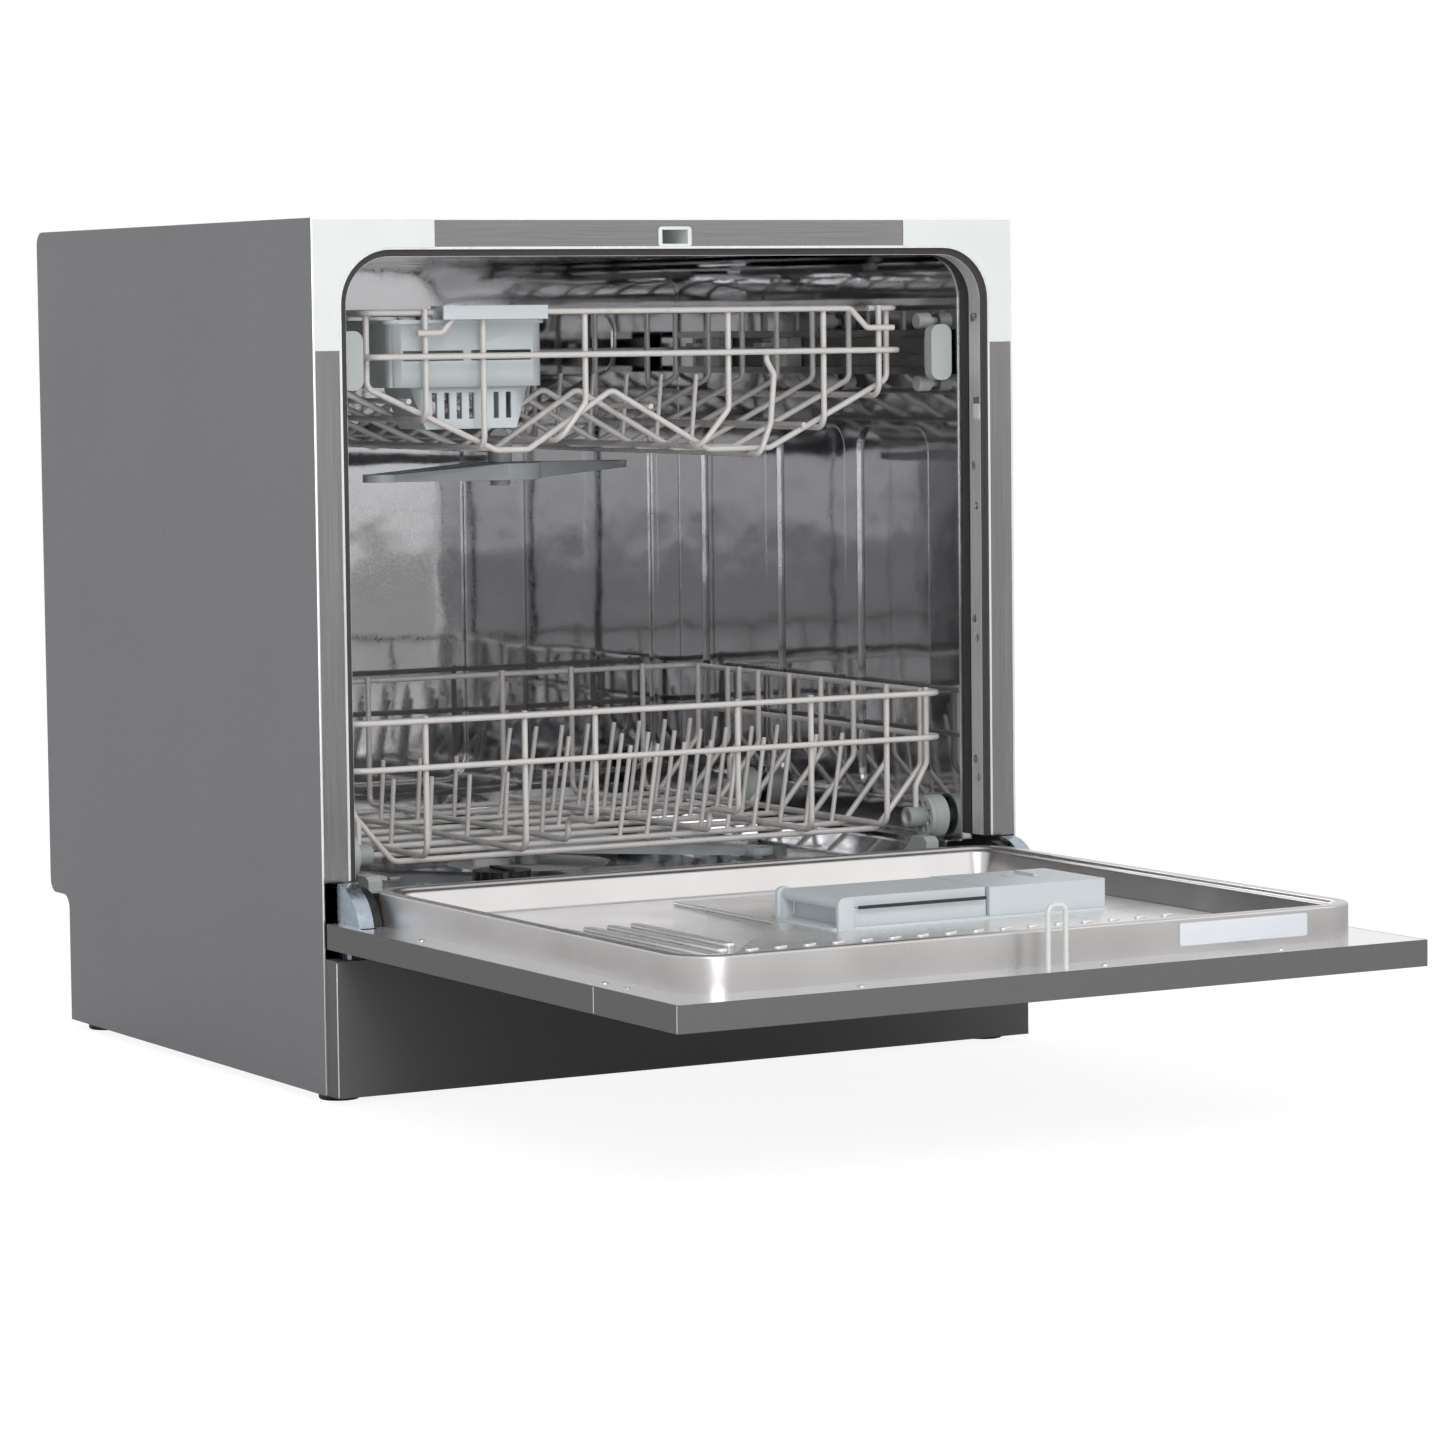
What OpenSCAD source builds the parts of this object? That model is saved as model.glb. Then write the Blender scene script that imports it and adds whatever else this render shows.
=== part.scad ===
// Compact dishwasher with a drop-down door, two wire baskets and its own side panels.
// X runs to the right, Y runs from the front frame to the back, Z runs up from the floor.
// Y = 0 is the plane of the front frame. The door is drawn fully open, the baskets pushed in.

/* [Cabinet] */
// Width over the side panels
cab_w = 550; // [540:1:600]
// Height of the side panels, without the feet
cab_h = 585; // [580:1:640]
// Depth from the front frame to the back of the side panels
cab_d = 482; // [480:1:540]
// Sheet thickness of the outer panels
sheet = 1; // [0.8:0.1:1.5]
// Height of the feet under the panels
foot_h = 5; // [3:1:12]
// Radius of a foot's pad
foot_r = 14; // [10:1:18]
// Radius of a foot's threaded stud
stud_r = 4; // [3:0.5:5]
// Depth of the hose recess at the rear foot of the cabinet
recess_d = 36; // [25:1:38]
// Height of the hose recess
recess_h = 93; // [80:1:100]
// Radius of the recess's corners
recess_r = 10; // [4:1:14]
// Height of the kickplate
kick_h = 92; // [80:1:96]
// How far the kickplate and the closed door stand in front of the frame
kick_out = 18; // [16:1:24]

/* [Front frame] */
// Width of the frame's side strips
frame_side = 19; // [14:1:26]
// Height of the frame's top strip
frame_top = 19; // [16:1:30]
// Corner radius of the door opening
opening_r = 38; // [34:1:60]
// Length of the plastic corner covers along the top strip
cover_w = 90; // [60:1:120]
// Length of the plastic corner covers along the side strips
cover_h = 87; // [60:1:120]
// Thickness of the corner covers
cover_t = 0.6; // [0.4:0.1:0.7]

/* [Tub] */
// Depth of the channel that holds the door gasket
channel_d = 27; // [25:1:34]
// How far the tub's wall stands inside the opening's edge
tub_step = 9; // [8:1:14]
// Wall thickness of the tub
tub_t = 1.2; // [1:0.1:1.5]
// Space between the tub and the rear panel
rear_space = 41; // [38:1:60]
// Depth of the tub's basin below the wheel tracks
basin_d = 19.5; // [19:0.5:24]
// Width of each wheel track
track_w = 12; // [12:0.5:16]
// Depth of the pressed panels in the tub's walls
press_d = 3; // [1:0.5:5]
// Thickness of the gasket
gasket_t = 5.6; // [4:0.1:6]

/* [Door] */
// Height of the closed door's lower edge above the kickplate
door_lift = 12; // [11:0.5:13]
// Thickness of the door's outer tray
door_t = 17; // [16:1:20]
// Gap between the open door and the frame's plane
door_gap = 3; // [2:0.5:4]
// Gap between the closed door and the frame
seal_gap = 1; // [0.8:0.1:1.4]
// Gap between the kickplate and the open door
kick_gap = 7; // [6:0.5:9]
// Height of the control panel at the door's top
fascia_len = 104; // [80:1:130]
// Width of the door's joint line
seam = 0.6; // [0.4:0.1:1]
// Height of the liner's raised rim
rim_h = 22.5; // [20:0.5:23]
// Distance of the rim from the door's side edges
rim_inset = 25; // [24.5:0.5:28]
// Distance of the rim from the door's top edge
rim_top_inset = 30; // [25:1:40]
// Width of the rim's flat top
rim_band = 12; // [10:0.5:14]
// Corner radius of the rim
rim_r = 30; // [20:1:36]
// Depth of the pan inside the rim
pan_d = 20; // [16:0.5:20]
// Radius of the hinge pins
pin_r = 4; // [3:0.5:4.5]
// Radius of the hinge arms' curved band
arm_r = 34; // [30:1:34]

/* [Dispenser] */
// Width of the detergent dispenser
disp_w = 214; // [190:1:230]
// Length of the dispenser along the door
disp_l = 80; // [70:1:90]
// Height of the dispenser's top above the rim
disp_up = 3; // [1:0.5:4]
// Distance of the dispenser from the door's hinge edge
disp_pos = 182; // [150:1:220]
// Width of the detergent cup's lid
lid_w = 112; // [90:1:120]

/* [Baskets] */
// Radius of the coated basket wire
wire_r = 2.1; // [1.8:0.1:2.2]
// Radius of the thinner tines
tine_r = 1.7; // [1.2:0.1:1.7]
// Bend radius of the basket wires
bend_r = 9; // [7:0.5:11]
// Space behind the lower basket
low_back = 35; // [30:1:60]
// Height of the lower basket's top rim above the wheel tracks
low_h = 106.5; // [90:0.5:115]
// Height between the two rims of the lower basket
low_rims = 32; // [25:0.5:40]
// Travel of the lower basket
low_travel = 330; // [280:1:340]
// Space behind the upper basket
up_back = 44; // [38:1:70]
// Distance of the upper basket's top rim below the tub's ceiling
up_drop = 39; // [36:1:46]
// Length of the front-to-back space that the upper rails leave free at the back
rail_back = 38; // [30:1:60]
// Travel of the upper rails
rail_travel = 185; // [150:1:190]
// Travel of the upper basket in its rails
up_travel = 165; // [120:1:170]
// Radius of the lower basket's wheels
wheel_r = 15.5; // [14.5:0.5:16]
// Radius of the wheels' inner faces
flange_r = 15; // [14:0.5:15]

/* [Spray arms] */
// Space between the lower spray arm's sweep and the tub's front and back
low_arm_gap = 9; // [7:1:40]
// Space between the upper spray arm's sweep and the tub's front and back
up_arm_gap = 27; // [10:1:50]
// Height of the upper basket's top rim over the underside of the upper spray arm
arm_drop = 121; // [119:1:124]
// Direction in which the lower arm rests
low_arm_at = -55; // [-90:5:90]
// Direction in which the upper arm rests
up_arm_at = 33; // [-90:5:90]

/* [Hidden] */
$fn = 48;
clear = 0.3;                          // air between pieces that move past each other
run = 0.05;                           // radial clearance of a running fit
half = cab_w / 2;
z0 = foot_h;                          // lower edge of the panels
z_top = z0 + cab_h;
in_x = half - sheet;                  // inner face of the side panels
open_x = in_x - frame_side;           // half width of the door opening
open_z = z_top - sheet - frame_top;   // top of the door opening
kick_z = z0 + kick_h;
door_z = kick_z + kick_gap;           // outer face of the open door
door_in = door_z + door_t;            // top of the open door's tray
track_z = door_in + rim_h;            // height on which the lower wheels roll
frame_z = track_z + 4.5;              // lower end of the frame's strips
closed_z = kick_z + door_lift;        // lower edge of the closed door
door_len = z_top - closed_z;          // length of the door, which closes level with the top
pivot_z = (closed_z - door_gap + door_in + seal_gap) / 2;
pivot_y = (closed_z - door_gap - door_in - seal_gap) / 2;
door_x = half - 1.5;                  // half width of the door and kickplate
tub_x = open_x - tub_step;            // inner half width of the tub
tub_z = open_z - 4;                   // inner ceiling of the tub
tub_r = opening_r - tub_step + 3;     // corner radius of the tub
tub_y0 = channel_d;
tub_y1 = cab_d - rear_space;
basin_z = track_z - basin_d;          // floor of the tub's basin
track_x = tub_x - track_w;            // inner edge of the wheel tracks
mid_y = (tub_y0 + tub_y1) / 2;        // centre of the spray arms
low_arm_r = mid_y - tub_y0 - low_arm_gap;
up_arm_r = mid_y - tub_y0 - up_arm_gap;
rim_x = door_x - rim_inset;           // outer face of the liner's rim
rim_y0 = -door_gap - 6;               // hinge end of the rim
rim_y1 = -door_gap - door_len + rim_top_inset;
wheel_z = track_z + wheel_r + clear;
low_y = tub_y0 + 7;                   // front of the lower basket
low_d = tub_y1 - low_back - low_y;    // depth of the lower basket
low_x = tub_x - 10;                   // half width of the lower basket's rims
low_rim_z = track_z + low_h;
low_floor_z = track_z + 13;           // axis of the lower basket's long floor wires
lap = 0.3;                            // how far a straight wire runs into its bend
weld = 0.4;                           // how deep crossing wires of one piece sink together
up_y = tub_y0 + 18;                   // front of the upper basket
up_d = tub_y1 - up_back - up_y;       // depth of the upper basket
up_z = tub_z - up_drop;               // top rim of the upper basket
up_x = tub_x - 35;                    // half width of the upper basket's rims
up_rim2_z = up_z - 30;
rail_z = up_z - 48;                   // lower face of the rails
rail_h = 32;
rail_x = tub_x - 20;                  // inner face of the rails
rail_y0 = tub_y0 + 4;
rail_len = tub_y1 - rail_back - rail_y0;
arm2_z = up_z - arm_drop;             // underside of the upper spray arm

// ---- shared shapes -------------------------------------------------------------------

function unit(v) = v / norm(v);
function bend_len(u, v, r) = r * tan(acos(max(-1, min(1, u * v))) / 2);

// both sides of the cabinet
module sides() {
  children();
  mirror([1, 0, 0]) children();
}

// turns a flat outline in X and Z into a plate from Y = y to Y = y + t
module upright(y, t) {
  translate([0, y + t, 0]) rotate([90, 0, 0]) linear_extrude(t) children();
}

// turns a flat outline in Y and Z into a plate from X = x to X = x + t
module sideways(x, t) {
  translate([x, 0, 0]) rotate([90, 0, 90]) linear_extrude(t) children();
}

module rounded(w, h, r) {
  square([w - 2 * r, h], center = true);
  square([w, h - 2 * r], center = true);
  for (x = [-1, 1], y = [-1, 1]) translate([x * (w / 2 - r), y * (h / 2 - r)]) circle(r);
}

// an arch with a flat foot: half width w, top at z1, foot at z0, upper corners of radius r
module arch(w, foot, top, r) {
  translate([-w, foot]) square([2 * w, top - foot - r]);
  translate([-w + r, foot]) square([2 * (w - r), top - foot]);
  for (s = [-1, 1]) translate([s * (w - r), top - r]) circle(r);
}

module rod(a, b, r) {
  d = unit(b - a);
  translate(a) rotate([0, acos(d[2]), atan2(d[1], d[0])]) cylinder(r = r, h = norm(b - a));
}

// a round bend at p that leads from direction u to direction v, a hair thicker than its wire
module bend(p, u, v, r, big) {
  turn = acos(u * v);
  axis = unit(cross(u, v));
  start = p - big * tan(turn / 2) * u;
  centre = start + big * unit(v - (u * v) * u);
  x = unit(start - centre);
  y = cross(axis, x);
  multmatrix([[x[0], y[0], axis[0], centre[0]], [x[1], y[1], axis[1], centre[1]],
    [x[2], y[2], axis[2], centre[2]]])
    rotate_extrude(angle = turn) translate([big, 0]) circle(r + 0.02);
}

// a wire of radius r through the points, bent with radius big at each of them
module wire(pts, r, big, closed = false) {
  n = len(pts);
  runs = closed ? n : n - 1;
  way = [for (i = [0:runs - 1]) unit(pts[(i + 1) % n] - pts[i])];
  cut = [for (i = [0:n - 1])
    closed || (i > 0 && i < n - 1) ? bend_len(way[(i - 1 + runs) % runs], way[i % runs], big) : 0];
  for (i = [0:runs - 1])
    rod(pts[i] + max(cut[i] - lap, 0) * way[i],
      pts[(i + 1) % n] - max(cut[(i + 1) % n] - lap, 0) * way[i], r);
  for (i = [closed ? 0 : 1:closed ? n - 1 : n - 2])
    bend(pts[i], way[(i - 1 + runs) % runs], way[i % runs], r, big);
}

// a horizontal ring of wire with round corners
module ring_wire(x, y0, y1, z, r, big) {
  wire([[-x, y0, z], [x, y0, z], [x, y1, z], [-x, y1, z]], r, big, true);
}

// ---- cabinet -------------------------------------------------------------------------

module side_outline() {
  difference() {
    translate([0, z0]) square([cab_d, cab_h]);
    translate([cab_d - recess_d, z0 - 1]) square([recess_d + 1, recess_h - recess_r + 1]);
    translate([cab_d - recess_d + recess_r, z0 - 1]) square([recess_d, recess_h + 1]);
    translate([cab_d - recess_d + recess_r, z0 + recess_h - recess_r]) circle(recess_r);
    difference() {
      translate([cab_d - recess_r, z0 + recess_h - 1]) square([recess_r + 1, recess_r + 1]);
      translate([cab_d - recess_r, z0 + recess_h + recess_r]) circle(recess_r);
    }
    difference() {
      translate([cab_d - recess_r, z_top - recess_r]) square(recess_r + 1);
      translate([cab_d - recess_r, z_top - recess_r]) circle(recess_r);
    }
  }
}

module side_panel() {
  sideways(in_x, sheet) side_outline();
}

module side_panel_right() {
  color("#808084") side_panel();
}

module side_panel_left() {
  color("#808084") mirror([1, 0, 0]) side_panel();
}

// a quarter-round strip of sheet about (y, z) at the back, upwards for up = 1
module corner_strip(y, z, up) {
  intersection() {
    difference() {
      translate([y, z]) circle(recess_r);
      translate([y, z]) circle(recess_r - sheet);
    }
    translate([y, up > 0 ? z : z - recess_r]) square(recess_r);
  }
}

module top_panel() {
  color("#808084") sideways(-in_x, 2 * in_x) {
    translate([0, z_top - sheet]) square([cab_d - recess_r, sheet]);
    corner_strip(cab_d - recess_r, z_top - recess_r, 1);
  }
}

// the rear panel follows the recess with a step; louvres let the motor bay breathe
module rear_panel() {
  slot_h = 3.5;
  slots = 8;
  y1 = cab_d - recess_d;
  z1 = z0 + recess_h + recess_r;
  press_w = half - 95;
  press_h = cab_h - recess_h - 112;
  color("#8d8f92") difference() {
    union() {
      sideways(-in_x, 2 * in_x) {
        translate([y1 - sheet, z0 + 26]) square([sheet, recess_h - 26]);
        translate([y1 - sheet, z0 + recess_h]) square([recess_d - recess_r + sheet, sheet]);
        corner_strip(cab_d - recess_r, z1, -1);
        translate([cab_d - sheet, z1]) square([sheet, z_top - recess_r - z1]);
      }
      for (x = [-1, 1]) translate([x * (half - 155), cab_d - sheet, (z_top + z0 + recess_h) / 2])
        rotate([90, 0, 0]) linear_extrude(0.8, center = true) difference() {
          rounded(press_w, press_h, 14);
          rounded(press_w - 8, press_h - 8, 10);
        }
    }
    for (i = [0:slots - 1], x = [-1, 1])
      translate([x * (half - 60), cab_d - 2, z0 + recess_h + 30 + i * 2.6 * slot_h])
        cube([46, 8, slot_h], center = true);
    translate([valve_x, y1, valve_z]) rotate([90, 0, 0]) cylinder(r = valve_r + 1, h = 9, center = true);
    translate([drain_x, y1, valve_z]) rotate([90, 0, 0]) cylinder(r = drain_r + 1, h = 9, center = true);
    translate([gland_x, y1, valve_z]) rotate([90, 0, 0]) cylinder(r = gland_r - 2, h = 9, center = true);
  }
}

valve_x = -190;
valve_z = z0 + 52;
valve_r = 13.2;
drain_x = -130;
drain_r = 9.5;
gland_x = 200;
gland_r = 11;
foot_x = half - 18;
foot_y0 = 17;
foot_y1 = cab_d - recess_d - 26;

module at_feet() {
  for (x = [-foot_x, foot_x], y = [foot_y0, foot_y1]) translate([x, y, 0]) children();
}

// a folded tray that carries the pumps and the panels
module base_tray() {
  wall = 1.2;
  depth = cab_d - recess_d - sheet;
  color("#3c3d40") difference() {
    union() {
      translate([-in_x, 0, z0]) cube([2 * in_x, depth, wall]);
      sides() translate([in_x - wall, 0, z0]) cube([wall, depth, 26]);
      translate([-in_x, depth - wall, z0]) cube([2 * in_x, wall, 26]);
      translate([-in_x, 0, z0]) cube([2 * in_x, wall, 16]);
      for (y = [60, depth - 80]) translate([-in_x, y, z0]) cube([2 * in_x, 14, 4]);
    }
    at_feet() cylinder(r = stud_r + 0.1, h = z0 + 10);
  }
}

module feet() {
  color("#2c2c2e") at_feet() {
    rotate_extrude() polygon([[0, 0], [foot_r - 1, 0], [foot_r, 1], [foot_r, z0 - 1.4],
      [foot_r - 1, z0], [0, z0]]);
    cylinder(r = stud_r, h = z0 + 14);
  }
}

// a folded box, open at the back, with slots through which the hinge ears rise
module kickplate() {
  color("#5f5f5d") difference() {
    translate([-door_x, -kick_out, z0]) cube([2 * door_x, kick_out, kick_h]);
    translate([-door_x + sheet, -kick_out + sheet, z0 + sheet])
      cube([2 * (door_x - sheet), kick_out, kick_h - 2 * sheet]);
    sides() translate([ear_x - 1, -kick_out + 1.6, kick_z - 5]) cube([ear_t + 2, kick_out, 10]);
  }
}

module front_frame() {
  lip = 1;
  color("#b9b9b9") difference() {
    union() {
      upright(0, sheet) translate([-in_x, frame_z]) square([2 * in_x, z_top - sheet - frame_z]);
      upright(0, tub_y0 + tub_t) arch(open_x + lip, frame_z, open_z + lip, opening_r + lip);
    }
    upright(-1, tub_y0 + 9) arch(open_x, frame_z - 1, open_z, opening_r);
    upright(-1, 4) translate([0, latch_z])
      square([slot_w + 2 * latch_t + 0.2, slot_h + 2 * latch_t + 0.2], center = true);
  }
}

module corner_covers() {
  color("#dfe9ea") difference() {
    upright(-cover_t, cover_t) sides() translate([in_x - cover_w, z_top - sheet - cover_h])
      square([cover_w, cover_h]);
    upright(-cover_t - 1, cover_t + 2) arch(open_x, frame_z, open_z, opening_r);
  }
}

slot_w = 20;                          // width of the lock's slot
slot_h = 9.6;                         // height of the lock's slot
latch_t = 0.8;                        // wall of the lock's case
latch_d = 48;
latch_z = open_z + 1 + slot_h / 2 + latch_t + 0.4;
striker_r = 1.6;
catch_y = 24;
catch_drop = 5.7;                     // how far the catch drops into the striker's loop

// the lock's case: a bezel on the frame, a slot for the striker and a box behind it
module latch_housing() {
  color("#e9ecec") difference() {
    union() {
      upright(-cover_t, cover_t) translate([0, latch_z]) rounded(slot_w + 6, slot_h + 4.4, 2.5);
      upright(0, latch_d) translate([0, latch_z])
        square([slot_w + 2 * latch_t, slot_h + 2 * latch_t], center = true);
    }
    translate([-slot_w / 2, -2, latch_z - slot_h / 2]) cube([slot_w, latch_d, slot_h]);
    translate([-3.5 - clear, catch_y - clear, latch_z]) cube([7 + 2 * clear, 9 + 2 * clear, 20]);
  }
}

// the catch that drops through the striker's loop; its nose has a ramp towards the door
module latch_catch() {
  foot = latch_z + striker_r + 1.8;
  head = z_top - sheet - clear;
  color("#f4f5f5") sideways(-3.5, 7)
    polygon([[catch_y, head], [catch_y + 9, head], [catch_y + 9, foot],
      [catch_y + 5, foot], [catch_y, foot + 3]]);
}

// ---- tub -----------------------------------------------------------------------------

panel_pitch = (tub_y1 - tub_y0 - 60) / 3;
press_top = up_rim2_z - 57;

// pressed panels of one side wall, seen from the side
module side_presses(grow) {
  for (i = [0:2]) translate([tub_y0 + 42 + panel_pitch * i, track_z + 24 - grow])
    translate([-grow, 0]) arch_from_corner(panel_pitch - 19 + 2 * grow, press_top - track_z - 24 + 2 * grow, 18);
}

module arch_from_corner(w, h, r) {
  translate([w / 2, h / 2]) rounded(w, h, r);
}

module tub_walls() {
  depth = tub_y1 - tub_y0;
  bar_x = tub_x - 96;                 // pressed bars across the ceiling
  bar_d = 34;
  bar_pitch = (depth - 95 - bar_d) / 3;
  color("#c3c3c5") difference() {
    union() {
      upright(tub_y0, depth) arch(tub_x + tub_t, track_z, tub_z + tub_t, tub_r + tub_t);
      upright(tub_y0, tub_t) arch(open_x, track_z, open_z, opening_r);
      sides() sideways(tub_x, press_d + tub_t) side_presses(tub_t);
      for (i = [0:3]) translate([-bar_x, tub_y0 + 60 + i * bar_pitch, tub_z])
        cube([2 * bar_x, bar_d, press_d + tub_t]);
    }
    upright(tub_y0 - 1, depth + 2) arch(tub_x, track_z - 1, tub_z, tub_r);
    sides() sideways(tub_x - 1, press_d + 1) side_presses(0);
    for (i = [0:3]) translate([-bar_x + tub_t, tub_y0 + 60 + tub_t + i * bar_pitch, tub_z - 1])
      cube([2 * (bar_x - tub_t), bar_d - 2 * tub_t, press_d + 1]);
  }
}

module tub_rear() {
  foot = basin_z - tub_t;
  side_press = tub_x - 81;            // centre of the outer pressed panels
  top_press = 2 * (tub_x - 56);
  color("#bdbdc0") difference() {
    union() {
      upright(tub_y1, tub_t) arch(tub_x + tub_t, foot, tub_z + tub_t, tub_r + tub_t);
      upright(tub_y1, press_d + tub_t) for (x = [-side_press, 0, side_press])
        translate([x, (press_top + track_z + 24) / 2]) rounded(112 + 2 * tub_t, press_top - track_z - 24 + 2 * tub_t, 20);
      upright(tub_y1, press_d + tub_t) translate([0, (tub_z + press_top) / 2])
        rounded(top_press + 2 * tub_t, 50 + 2 * tub_t, 16);
    }
    upright(tub_y1 - 1, press_d + 1) for (x = [-side_press, 0, side_press])
      translate([x, (press_top + track_z + 24) / 2]) rounded(112, press_top - track_z - 24, 20);
    upright(tub_y1 - 1, press_d + 1) translate([0, (tub_z + press_top) / 2]) rounded(top_press, 50, 16);
    translate([pipe_x, tub_y1, pipe_z]) rotate([90, 0, 0]) cylinder(r = pipe_r + 0.1, h = 20, center = true);
  }
}

sump_r = 60;
filter_r = 22.3;                      // radius of the strainer cup
salt_x = -60;
salt_y = mid_y - 76;
salt_r = 22;
salt_w = 76;                          // width, depth and place of the salt container's box
salt_d = 72;
salt_left = 62;
salt_front = 50;

module floor_section(lift) {
  side = tub_x + tub_t;
  polygon([[-side, track_z], [-track_x, track_z], [-track_x + 0.5, track_z - 6],
    [-track_x + 14, basin_z], [track_x - 14, basin_z], [track_x - 0.5, track_z - 6],
    [track_x, track_z], [side, track_z],
    [side, track_z - tub_t], [track_x + tub_t, track_z - tub_t], [track_x + tub_t - 0.5, track_z - 6 - tub_t],
    [track_x - 14, basin_z - tub_t], [-track_x + 14, basin_z - tub_t],
    [-track_x - tub_t + 0.5, track_z - 6 - tub_t], [-track_x - tub_t, track_z - tub_t], [-side, track_z - tub_t]]);
}

module tub_floor() {
  color("#77777a") difference() {
    union() {
      upright(tub_y0 + tub_t, tub_y1 - tub_y0 - tub_t) floor_section();
      upright(tub_y0, tub_t) translate([-tub_x, basin_z - 20]) square([2 * tub_x, track_z - 6.5 - basin_z + 20]);
      for (i = [-1, 1], j = [0:2])
        translate([i * (tub_x - 118) - 5, tub_y0 + 40 + j * (tub_y1 - tub_y0 - 164) / 2, basin_z - tub_t])
          cube([10, 80, tub_t + 1.5]);
    }
    translate([0, mid_y, basin_z]) cylinder(r = sump_r, h = 30, center = true);
    translate([salt_x, salt_y, basin_z]) cylinder(r = salt_r, h = 30, center = true);
  }
}

// the rubber seal: a ribbed band round the sides and top, and a strip under the tub's front
module door_gasket() {
  y0 = 2;
  color("#2b292d") {
    difference() {
      union() {
        upright(y0, tub_y0 - y0 - 0.05) arch(open_x - 0.05, frame_z, open_z - 0.05, opening_r);
      }
      upright(y0 - 1, tub_y0) arch(open_x - gasket_t, frame_z - 1, open_z - gasket_t, opening_r - gasket_t);
      upright(y0 + 9, 1.6) arch(open_x - gasket_t + 1.6, frame_z - 1, open_z - gasket_t + 1.6, opening_r - gasket_t + 1.6);
      upright(y0 + 16, 1.6) arch(open_x - gasket_t + 1.6, frame_z - 1, open_z - gasket_t + 1.6, opening_r - gasket_t + 1.6);
    }
    translate([-tub_x + 12, tub_y0 - 4, basin_z - 14]) cube([2 * tub_x - 24, 4, 12]);
  }
}

clip_zs = [0.13, 0.37, 0.63, 0.88];

// screws and moulded clips that hold the gasket's channel to the frame
module gasket_clips() {
  span = open_z - frame_z;
  x = open_x - gasket_t;
  color("#cfd2d3") sides() {
    for (t = clip_zs) translate([x, 11.8, frame_z + span * t]) rotate([0, -90, 0]) {
      cylinder(r = 3, h = 0.5);
      translate([0, 0, 0.5]) cylinder(r1 = 2.6, r2 = 1.6, h = 0.1);
    }
    translate([x - 0.6, 3, frame_z + span * 0.72]) cube([0.6, 8, 11]);
  }
}

module rail_rollers() {
  roll_r = 6;
  color("#d6d9d9") sides() for (y = [rail_y0 + 30, rail_y0 + 165], s = [-1, 1])
    translate([tub_x, y, rail_z + rail_h / 2 + s * (rail_h / 2 + roll_r + clear)])
      rotate([0, -90, 0]) {
        cylinder(r = roll_r - 3, h = 3);
        translate([0, 0, 3]) rotate_extrude() polygon([[0, 0], [roll_r - 0.8, 0], [roll_r, 0.8],
          [roll_r, 10.2], [roll_r - 0.8, 11], [0, 11]]);
      }
}

// moulded blocks beside the front wheels that keep the lower basket straight
module basket_stops() {
  top = track_z + 3;
  x1 = track_x - 6;
  color("#d9dcdc") sides() sideways(x1 - 11, 10.4)
    polygon([[tub_y0 + tub_t, track_z - 6.5], [tub_y0 + tub_t, top - 3], [tub_y0 + tub_t + 4, top],
      [tub_y0 + 20, top], [tub_y0 + 34, basin_z + 9.2], [tub_y0 + 34, basin_z + 8.2], [tub_y0 + tub_t, basin_z + 8.2]]);
}

well_r = 30;

// the bowl under the basin, with the pump's inlet and outlet stubs
module sump() {
  color("#4a4c50") translate([0, mid_y, 0]) difference() {
    union() {
      translate([0, 0, basin_z - 40]) cylinder(r = sump_r, h = 40 - tub_t);
      translate([0, 0, basin_z - tub_t - 5]) cylinder(r = sump_r + 5, h = 5);
      translate([pipe_x, sump_r - 20, riser_z]) rotate([-90, 0, 0]) cylinder(r = 11, h = 24);
      translate([0, 0, basin_z - 68]) cylinder(r = well_r + 4, h = 30);
    }
    translate([0, 0, basin_z - 36]) cylinder(r = sump_r - 3, h = 40);
    translate([0, 0, basin_z - 3.4]) cylinder(r = sump_r, h = 10);
    translate([0, 0, basin_z - 64]) cylinder(r = well_r + 1, h = 40);
  }
}

// the flat strainer with its well, and the post on which the lower arm turns
module filter_plate() {
  color("#c9cccd") translate([0, mid_y, 0]) difference() {
    union() {
      translate([0, 0, basin_z - 3.4]) cylinder(r = sump_r - 0.3, h = 3);
      translate([0, 0, basin_z - 0.4]) cylinder(r = 9, h = arm1_z - basin_z + 0.4 - clear);
      translate([0, 0, basin_z - 0.4]) cylinder(r = 5, h = arm1_z - basin_z + arm_t + 1);
      translate([0, 0, arm1_z + arm_t + clear]) cylinder(r1 = 9, r2 = 7, h = 3);
      translate([0, 0, basin_z - 37.8]) cylinder(r = sump_r / 2 - filter_r - 0.7, h = 36);
    }
    translate([-sump_r / 2, 0, basin_z - 5]) cylinder(r = filter_r + 0.2, h = 12);
    for (a = [-75:15:75]) rotate([0, 0, a]) translate([sump_r * 0.6, 0, basin_z - 5])
      cube([26, 2, 12], center = true);
  }
}

arm1_z = basin_z + 9.5;
arm_t = 12;

// the removable strainer cup with its grip
module coarse_filter() {
  color("#d8dbdc") translate([-sump_r / 2, mid_y, 0]) difference() {
    union() {
      translate([0, 0, basin_z - 30]) cylinder(r = filter_r, h = 30);
      translate([0, 0, basin_z]) linear_extrude(5) rounded(30, 7, 3);
    }
    translate([0, 0, basin_z - 28]) cylinder(r = filter_r - 2.3, h = 24);
    for (a = [0:30:330]) rotate([0, 0, a]) translate([filter_r - 1.3, 0, basin_z - 15]) cube([8, 3, 20], center = true);
  }
}

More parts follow.
